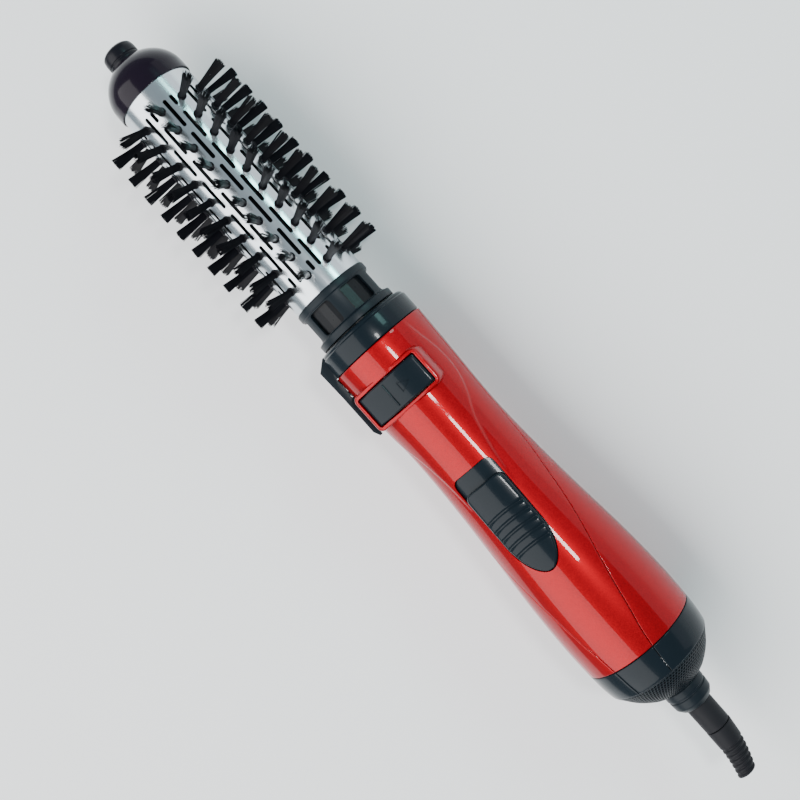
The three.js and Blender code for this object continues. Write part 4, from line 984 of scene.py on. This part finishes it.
plate_shape = pad(SLIDE_START + 0.3, 0.3, lambda *at: -1.0, -2.6, 50, 31)
plate = solid("slide_bed", plate_shape)
STEM_HALF, STEM_WIDTH, STEM_GAP = 3, 4, 0.4
slot_start, slot_end = STEM - STEM_HALF - SLIDE_TRAVEL - STEM_GAP, STEM + STEM_HALF + STEM_GAP
stem_slot = rounded_box(slot_start, slot_end, STEM_WIDTH + 2 * STEM_GAP, 0.3)
carve(plate, prism(stem_slot, CUT_LOW, CUT_HIGH))
finished(plate, gloss_black, "handle", "gloss_black", "switch_plate")

thumb = solid("slide_thumb", pad(KNOB_START, 0.4, thumb_rise, -0.7, 220, 61))
stem = rounded_box(STEM - STEM_HALF, STEM + STEM_HALF, STEM_WIDTH, 0.3)
carve(thumb, prism(stem, 14.3, handle_radius(STEM)), "UNION")
finished(thumb, gloss_black, "knob", "gloss_black", "slide_knob", edge=45)

# %% [markdown]
# ## The release lever
# Pressing the lever frees the barrel so that it pulls off. It is a bar with a sloping nose, a rib
# that reaches its pin through the shell and a pocket for its spring. The bar's edges are rounded.

# %% Release lever
lever_span = span("release_lever")
LEVER_TOP = 27.0
LEVER_GAP, LEVER_PRESS_GAP, LEVER_BORE = 0.3, 2.1, 1.3
foot = pivot_surface + 0.9
lever_outline = [
    (lever_span[0], hook_radius), (lever_span[0], hook_radius + 2),
    (lever_span[0] + 4.3, LEVER_TOP - 0.1), (lever_span[0] + 18, LEVER_TOP - 0.5),
    (lever_span[1] - 3, LEVER_TOP - 0.5), (lever_span[1], foot + 1), (lever_span[1], foot - 1.2),
    (ring_end - 0.4, foot - 1.2), (ring_end - 0.4, hook_radius),
]
# The handle's own curve, with room for the free end to go down, is cut from under the bar.
hollow = [
    (ring_end - 0.45, 0), (ring_end - 0.45, handle_radius(ring_end) + LEVER_GAP),
    (LEVER_PIVOT, pivot_surface + LEVER_GAP),
    (lever_span[1] + 2, handle_radius(lever_span[1]) + LEVER_PRESS_GAP),
    (lever_span[1] + 2, 0),
]
lever = solid("release_tab", side_block(lever_outline, LEVER_WIDTH, LEVER_ANGLE))
carve(lever, revolved(hollow))
rounding = lever.modifiers.new("round", "BEVEL")
rounding.width, rounding.segments, rounding.limit_method = 0.6 * MM, 3, "ANGLE"
applied(lever)
rib = rounded_box(LEVER_PIVOT - 2.3, LEVER_PIVOT + 2.3, 4.6, 0.4)
carve(lever, prism(rib, pivot_surface - 3.3, foot + 1, LEVER_ANGLE), "UNION")
bore_side = circle(LEVER_BORE) + (LEVER_PIVOT, pivot_surface - 1)
carve(lever, side_block(bore_side, LEVER_WIDTH + 2, LEVER_ANGLE))
carve(lever, prism(disc(LEVER_SPRING, 2.2), foot - 1, foot + 1.4, LEVER_ANGLE))
finished(lever, satin_black, "lever", "matt_black", "release_lever")

# %% [markdown]
# ## The rear cap
# Two glossy black bands carry the parting line on over the fan, one on each shell. They are made as
# the shells are, with their own radius.

# %% Rear cap
cap_span = span("rear_cap_front")
band_stations = cap_span[0] + edged(cap_span[1] - cap_span[0], 0.8)
BAND_WALL, BAND_GAP = 1.6, 0.2


def band_radius(station, angle):
    """The cap narrows towards the mesh with a soft last step."""
    t = (station - cap_span[0]) / (cap_span[1] - cap_span[0])
    return 27.1 - 0.5 * t - 0.9 * t**3 + 0 * angle


split = parting_angle(band_stations) - BAND_GAP
band = solid("end_band_front", shell(band_stations, -split, split, 40, band_radius, BAND_WALL))
finished(band, gloss_black, "handle", "gloss_black", "rear_cap_front")
split = parting_angle(band_stations) + BAND_GAP
band_shape = shell(band_stations, split, 360 - split, 170, band_radius, BAND_WALL)
band = solid("end_band_rear", band_shape)
finished(band, gloss_black, "handle", "gloss_black", "rear_cap_back")

# %% [markdown]
# ## The inlet mesh
# Air enters through a fine domed mesh. A mesh with real holes is built cell by cell: each cell of a
# staggered grid has four bars round an open middle, on an outer and an inner skin. The cells shrink
# with the dome, so that they stay square.

# %% Inlet mesh
DOME = through([(349.9, 25.2), (352.4, 23.5), (357, 19.9), (361.5, 14.6), (363.4, 10.2)], 12)
dome_shift = cap_span[1] - 349.5
COLUMNS = 96
OPEN_SHARE, CELL_HEIGHT, MESH_WALL = 0.7, 0.92, 0.7
dome_steps = np.linalg.norm(np.diff(DOME, axis=0), axis=1)
dome_lengths = np.concatenate([[0], np.cumsum(dome_steps)])


def dome_point(distance):
    """Station and radius at a distance along the dome."""
    return [np.interp(distance, dome_lengths, side) for side in DOME.T]


edges = [0.0]
while edges[-1] < dome_lengths[-1]:
    cell_width = 2 * math.pi * dome_point(edges[-1])[1] / COLUMNS
    edges.append(edges[-1] + cell_width * CELL_HEIGHT)
edges = np.array(edges[:-1])
rows = len(edges)


def mesh_skin(inset):
    """Grid corners and hole corners of one skin."""
    station, radius = dome_point(edges)
    angle = (np.arange(COLUMNS) + 0.5 * (np.arange(rows)[:, None] % 2)) * 360 / COLUMNS
    station = (station + dome_shift - 0.5 * inset)[:, None]
    corners = around(station, (radius - inset)[:, None], angle).reshape(rows, COLUMNS, 3)
    low, high = corners[:-1], corners[1:]
    right_low, right_high = np.roll(low, -1, axis=1), np.roll(high, -1, axis=1)
    odd = (np.arange(rows - 1) % 2 == 1)[:, None, None]
    first_high = np.where(odd, right_high, high)
    second_high = np.where(odd, np.roll(high, -2, axis=1), right_high)
    cell = np.stack([low, right_low, second_high, first_high], axis=2)
    hole = cell.mean(axis=2, keepdims=True) * (1 - OPEN_SHARE) + cell * OPEN_SHARE
    return corners.reshape(-1, 3), hole.reshape(-1, 3)


outer, outer_holes = mesh_skin(0.0)
inner, inner_holes = mesh_skin(MESH_WALL)
count, holes = len(outer), len(outer_holes)
faces = []
for i in range(rows - 1):
    for j in range(COLUMNS):
        shift = j + 1 if i % 2 else j
        cell = [i * COLUMNS + j, i * COLUMNS + (j + 1) % COLUMNS]
        cell += [(i + 1) * COLUMNS + (shift + 1) % COLUMNS, (i + 1) * COLUMNS + shift % COLUMNS]
        hole = [2 * count + (i * COLUMNS + j) * 4 + k for k in range(4)]
        for k in range(4):
            n = (k + 1) % 4
            faces.append([cell[k], cell[n], hole[n], hole[k]])
            faces.append([cell[n] + count, cell[k] + count, hole[k] + holes, hole[n] + holes])
            faces.append([hole[k], hole[n], hole[n] + holes, hole[k] + holes])
for j in range(COLUMNS):
    n, last = (j + 1) % COLUMNS, (rows - 1) * COLUMNS
    faces.append([j, j + count, n + count, n])
    faces.append([last + n, last + n + count, last + j + count, last + j])
net = (np.concatenate([outer, inner, outer_holes, inner_holes]), faces)
tail = DOME[-1] + (dome_shift, 0)
seat = np.array([(-2, 24.3), (0.3, 25.3), (0.7, 25.2), (0.8, 24.3), (-2, 23.4)])
seat += (cap_span[1], 0)
hub = [
    (tail[0] - 1.2, 7.6), (tail[0] - 1.2, tail[1] + 0.4), (tail[0] + 0.3, tail[1]),
    (tail[0] + 0.3, 7.6),
]
rings = [revolved(soften(outline, 0.2), COLUMNS) for outline in (seat, hub)]
inlet = solid("inlet_mesh", merged([net, *rings]))
finished(inlet, satin_black, "handle", "matt_black", "inlet_grille")

# %% [markdown]
# ## Where the cord leaves
# A collar that turns with the cord, a plain neck and a flexible guard with ribs. All three are
# turned outlines, and the guard's points are then moved sideways along its length for its lean.

# %% Swivel collar, neck and guard
nodes = "swivel_collar", "strain_relief_neck", "cord_guard"
swivel_span, neck_span, guard_span = map(span, nodes)
SWIVEL_RADIUS, NECK_RADIUS, BORE = 9.7, 6.2, 3.4
swivel_start = swivel_span[1] - 10.5
swivel_outline = [
    (swivel_start, 7.2), (swivel_start, SWIVEL_RADIUS), (swivel_start + 3.2, SWIVEL_RADIUS),
    (swivel_start + 3.4, SWIVEL_RADIUS - 0.5), (swivel_start + 4.2, SWIVEL_RADIUS - 0.5),
    (swivel_start + 4.4, SWIVEL_RADIUS - 0.1), (swivel_span[1] - 2.4, SWIVEL_RADIUS - 0.4),
    (swivel_span[1], 7.5), (swivel_span[1], BORE), (swivel_span[0], BORE), (swivel_span[0], 8.6),
    (swivel_span[0] + 1.5, 8.6), (swivel_span[0] + 1.5, 7.2),
]
swivel = solid("cord_collar", revolved(soften(swivel_outline, 0.4), 72))
finished(swivel, satin_black, "cord_swivel", "matt_black", "swivel_collar")
neck_outline = [
    (neck_span[0], BORE), (neck_span[0], NECK_RADIUS), (neck_span[1] - 0.2, NECK_RADIUS - 0.1),
    (neck_span[1], NECK_RADIUS - 0.3), (neck_span[1], BORE),
]
neck = solid("cord_neck", revolved(soften(neck_outline, 0.3), 72))
finished(neck, soft_black, "cord_swivel", "soft_black", "strain_relief_neck")

RIBS, PLAIN, LEAN, RIB_DEPTH = 6, 9.0, 4.2, 0.7
pitch = (guard_span[1] - guard_span[0] - PLAIN) / RIBS
GUARD_RADIUS, GUARD_TAPER = NECK_RADIUS - 0.5, 1.1
guard_outline = [(guard_span[0], BORE), (guard_span[0], NECK_RADIUS)]
guard_outline.append((guard_span[0] + PLAIN, GUARD_RADIUS))
for i in range(RIBS):
    at = guard_span[0] + PLAIN + i * pitch
    radius = GUARD_RADIUS - GUARD_TAPER * (i + 1) / RIBS
    rib = (0.2, RIB_DEPTH), (0.5, RIB_DEPTH), (0.65, 0), (1, 0)
    guard_outline += [(at + along * pitch, radius - drop) for along, drop in rib]
guard_outline.append((guard_span[1], BORE))
guard_points, guard_faces = revolved(soften(guard_outline, 0.3), 60)
run = np.clip((END_FACE - guard_points[:, 0]) / MM - guard_span[0], 0, None)
guard_points[:, 1] += LEAN * MM * (run / (guard_span[1] - guard_span[0])) ** 2
guard = solid("cord_relief", (guard_points, guard_faces))
finished(guard, soft_black, "cord_swivel", "soft_black", "cord_guard")

# %% [markdown]
# ## What is inside
# The frame's own solids are right for the works inside: gears, motors, heater, board and screws.
# They keep their shapes and are given finishes, each with the grain of its own material. The air
# tube, the hub and the two pins are painted near-black as painted shade, so that the slots, the
# windows and the gaps round the rocker read dark.

# %% Finishes for the works
works = [
    (grained("natural_nylon", (0.72, 0.7, 0.62), 0.45, 0.15, 1500, 8e-6),
     "hub_bush", "fan_impeller", "thermal_cutout"),
    (grained("dark_nylon", (0.03, 0.032, 0.036), 0.42, 0.15, 1500, 8e-6),
     "motor_mount", "slide_switch", "direction_switch"),
    (grained("screw_steel", (0.62, 0.62, 0.63), 0.3, 0.15, 2500, 4e-6, Metallic=1.0),
     "tip_screw", "housing_screw_1", "housing_screw_2", "lever_spring", "gear_motor", "fan_motor",
     "fan_shaft"),
    (grained("gear_brass", (0.72, 0.52, 0.22), 0.28, 0.12, 2000, 4e-6, Metallic=1.0),
     "drive_pinion"),
    (grained("mica", (0.16, 0.13, 0.1), 0.4, 0.2, 700, 1e-5, (1, 0.2, 0.2)), "heater_frame"),
    # The pins are painted near-black so that they read dark in the gaps round the rocker: painted
    # shade.
    (grained("steel_painted_gap_shade", (0.02, 0.02, 0.023), 0.35, 0.1, 2500, 3e-6, **dull),
     "rocker_pin", "lever_pin"),
    # The air tube and hub are painted near-black so that the slots and windows read dark: painted
    # shade.
    (grained("tube_painted_shade", (0.007, 0.008, 0.01), 0.3, 0.15, 900, 6e-6, **dull),
     "air_tube", "drive_hub"),
    (grained("board", (0.03, 0.2, 0.09), 0.35, 0.1, 1200, 6e-6), "circuit_board"),
    (grained("filter_red", (0.42, 0.012, 0.02), 0.8, 0.2, 1400, 1.8e-4), "inlet_filter"),
    (grained("heater_wire", (0.35, 0.3, 0.27), 0.4, 0.2, 3000, 4e-6, Metallic=1.0),
     "heater_coil"),
]
for finish, *names in works:
    for name in names:
        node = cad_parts[name]
        node.data.materials.clear()
        node.data.materials.append(finish.material)
shown = [name for name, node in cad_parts.items() if not node.hide_render]
print("works shown", len(shown), "of which painted", sum(len(row) - 1 for row in works))
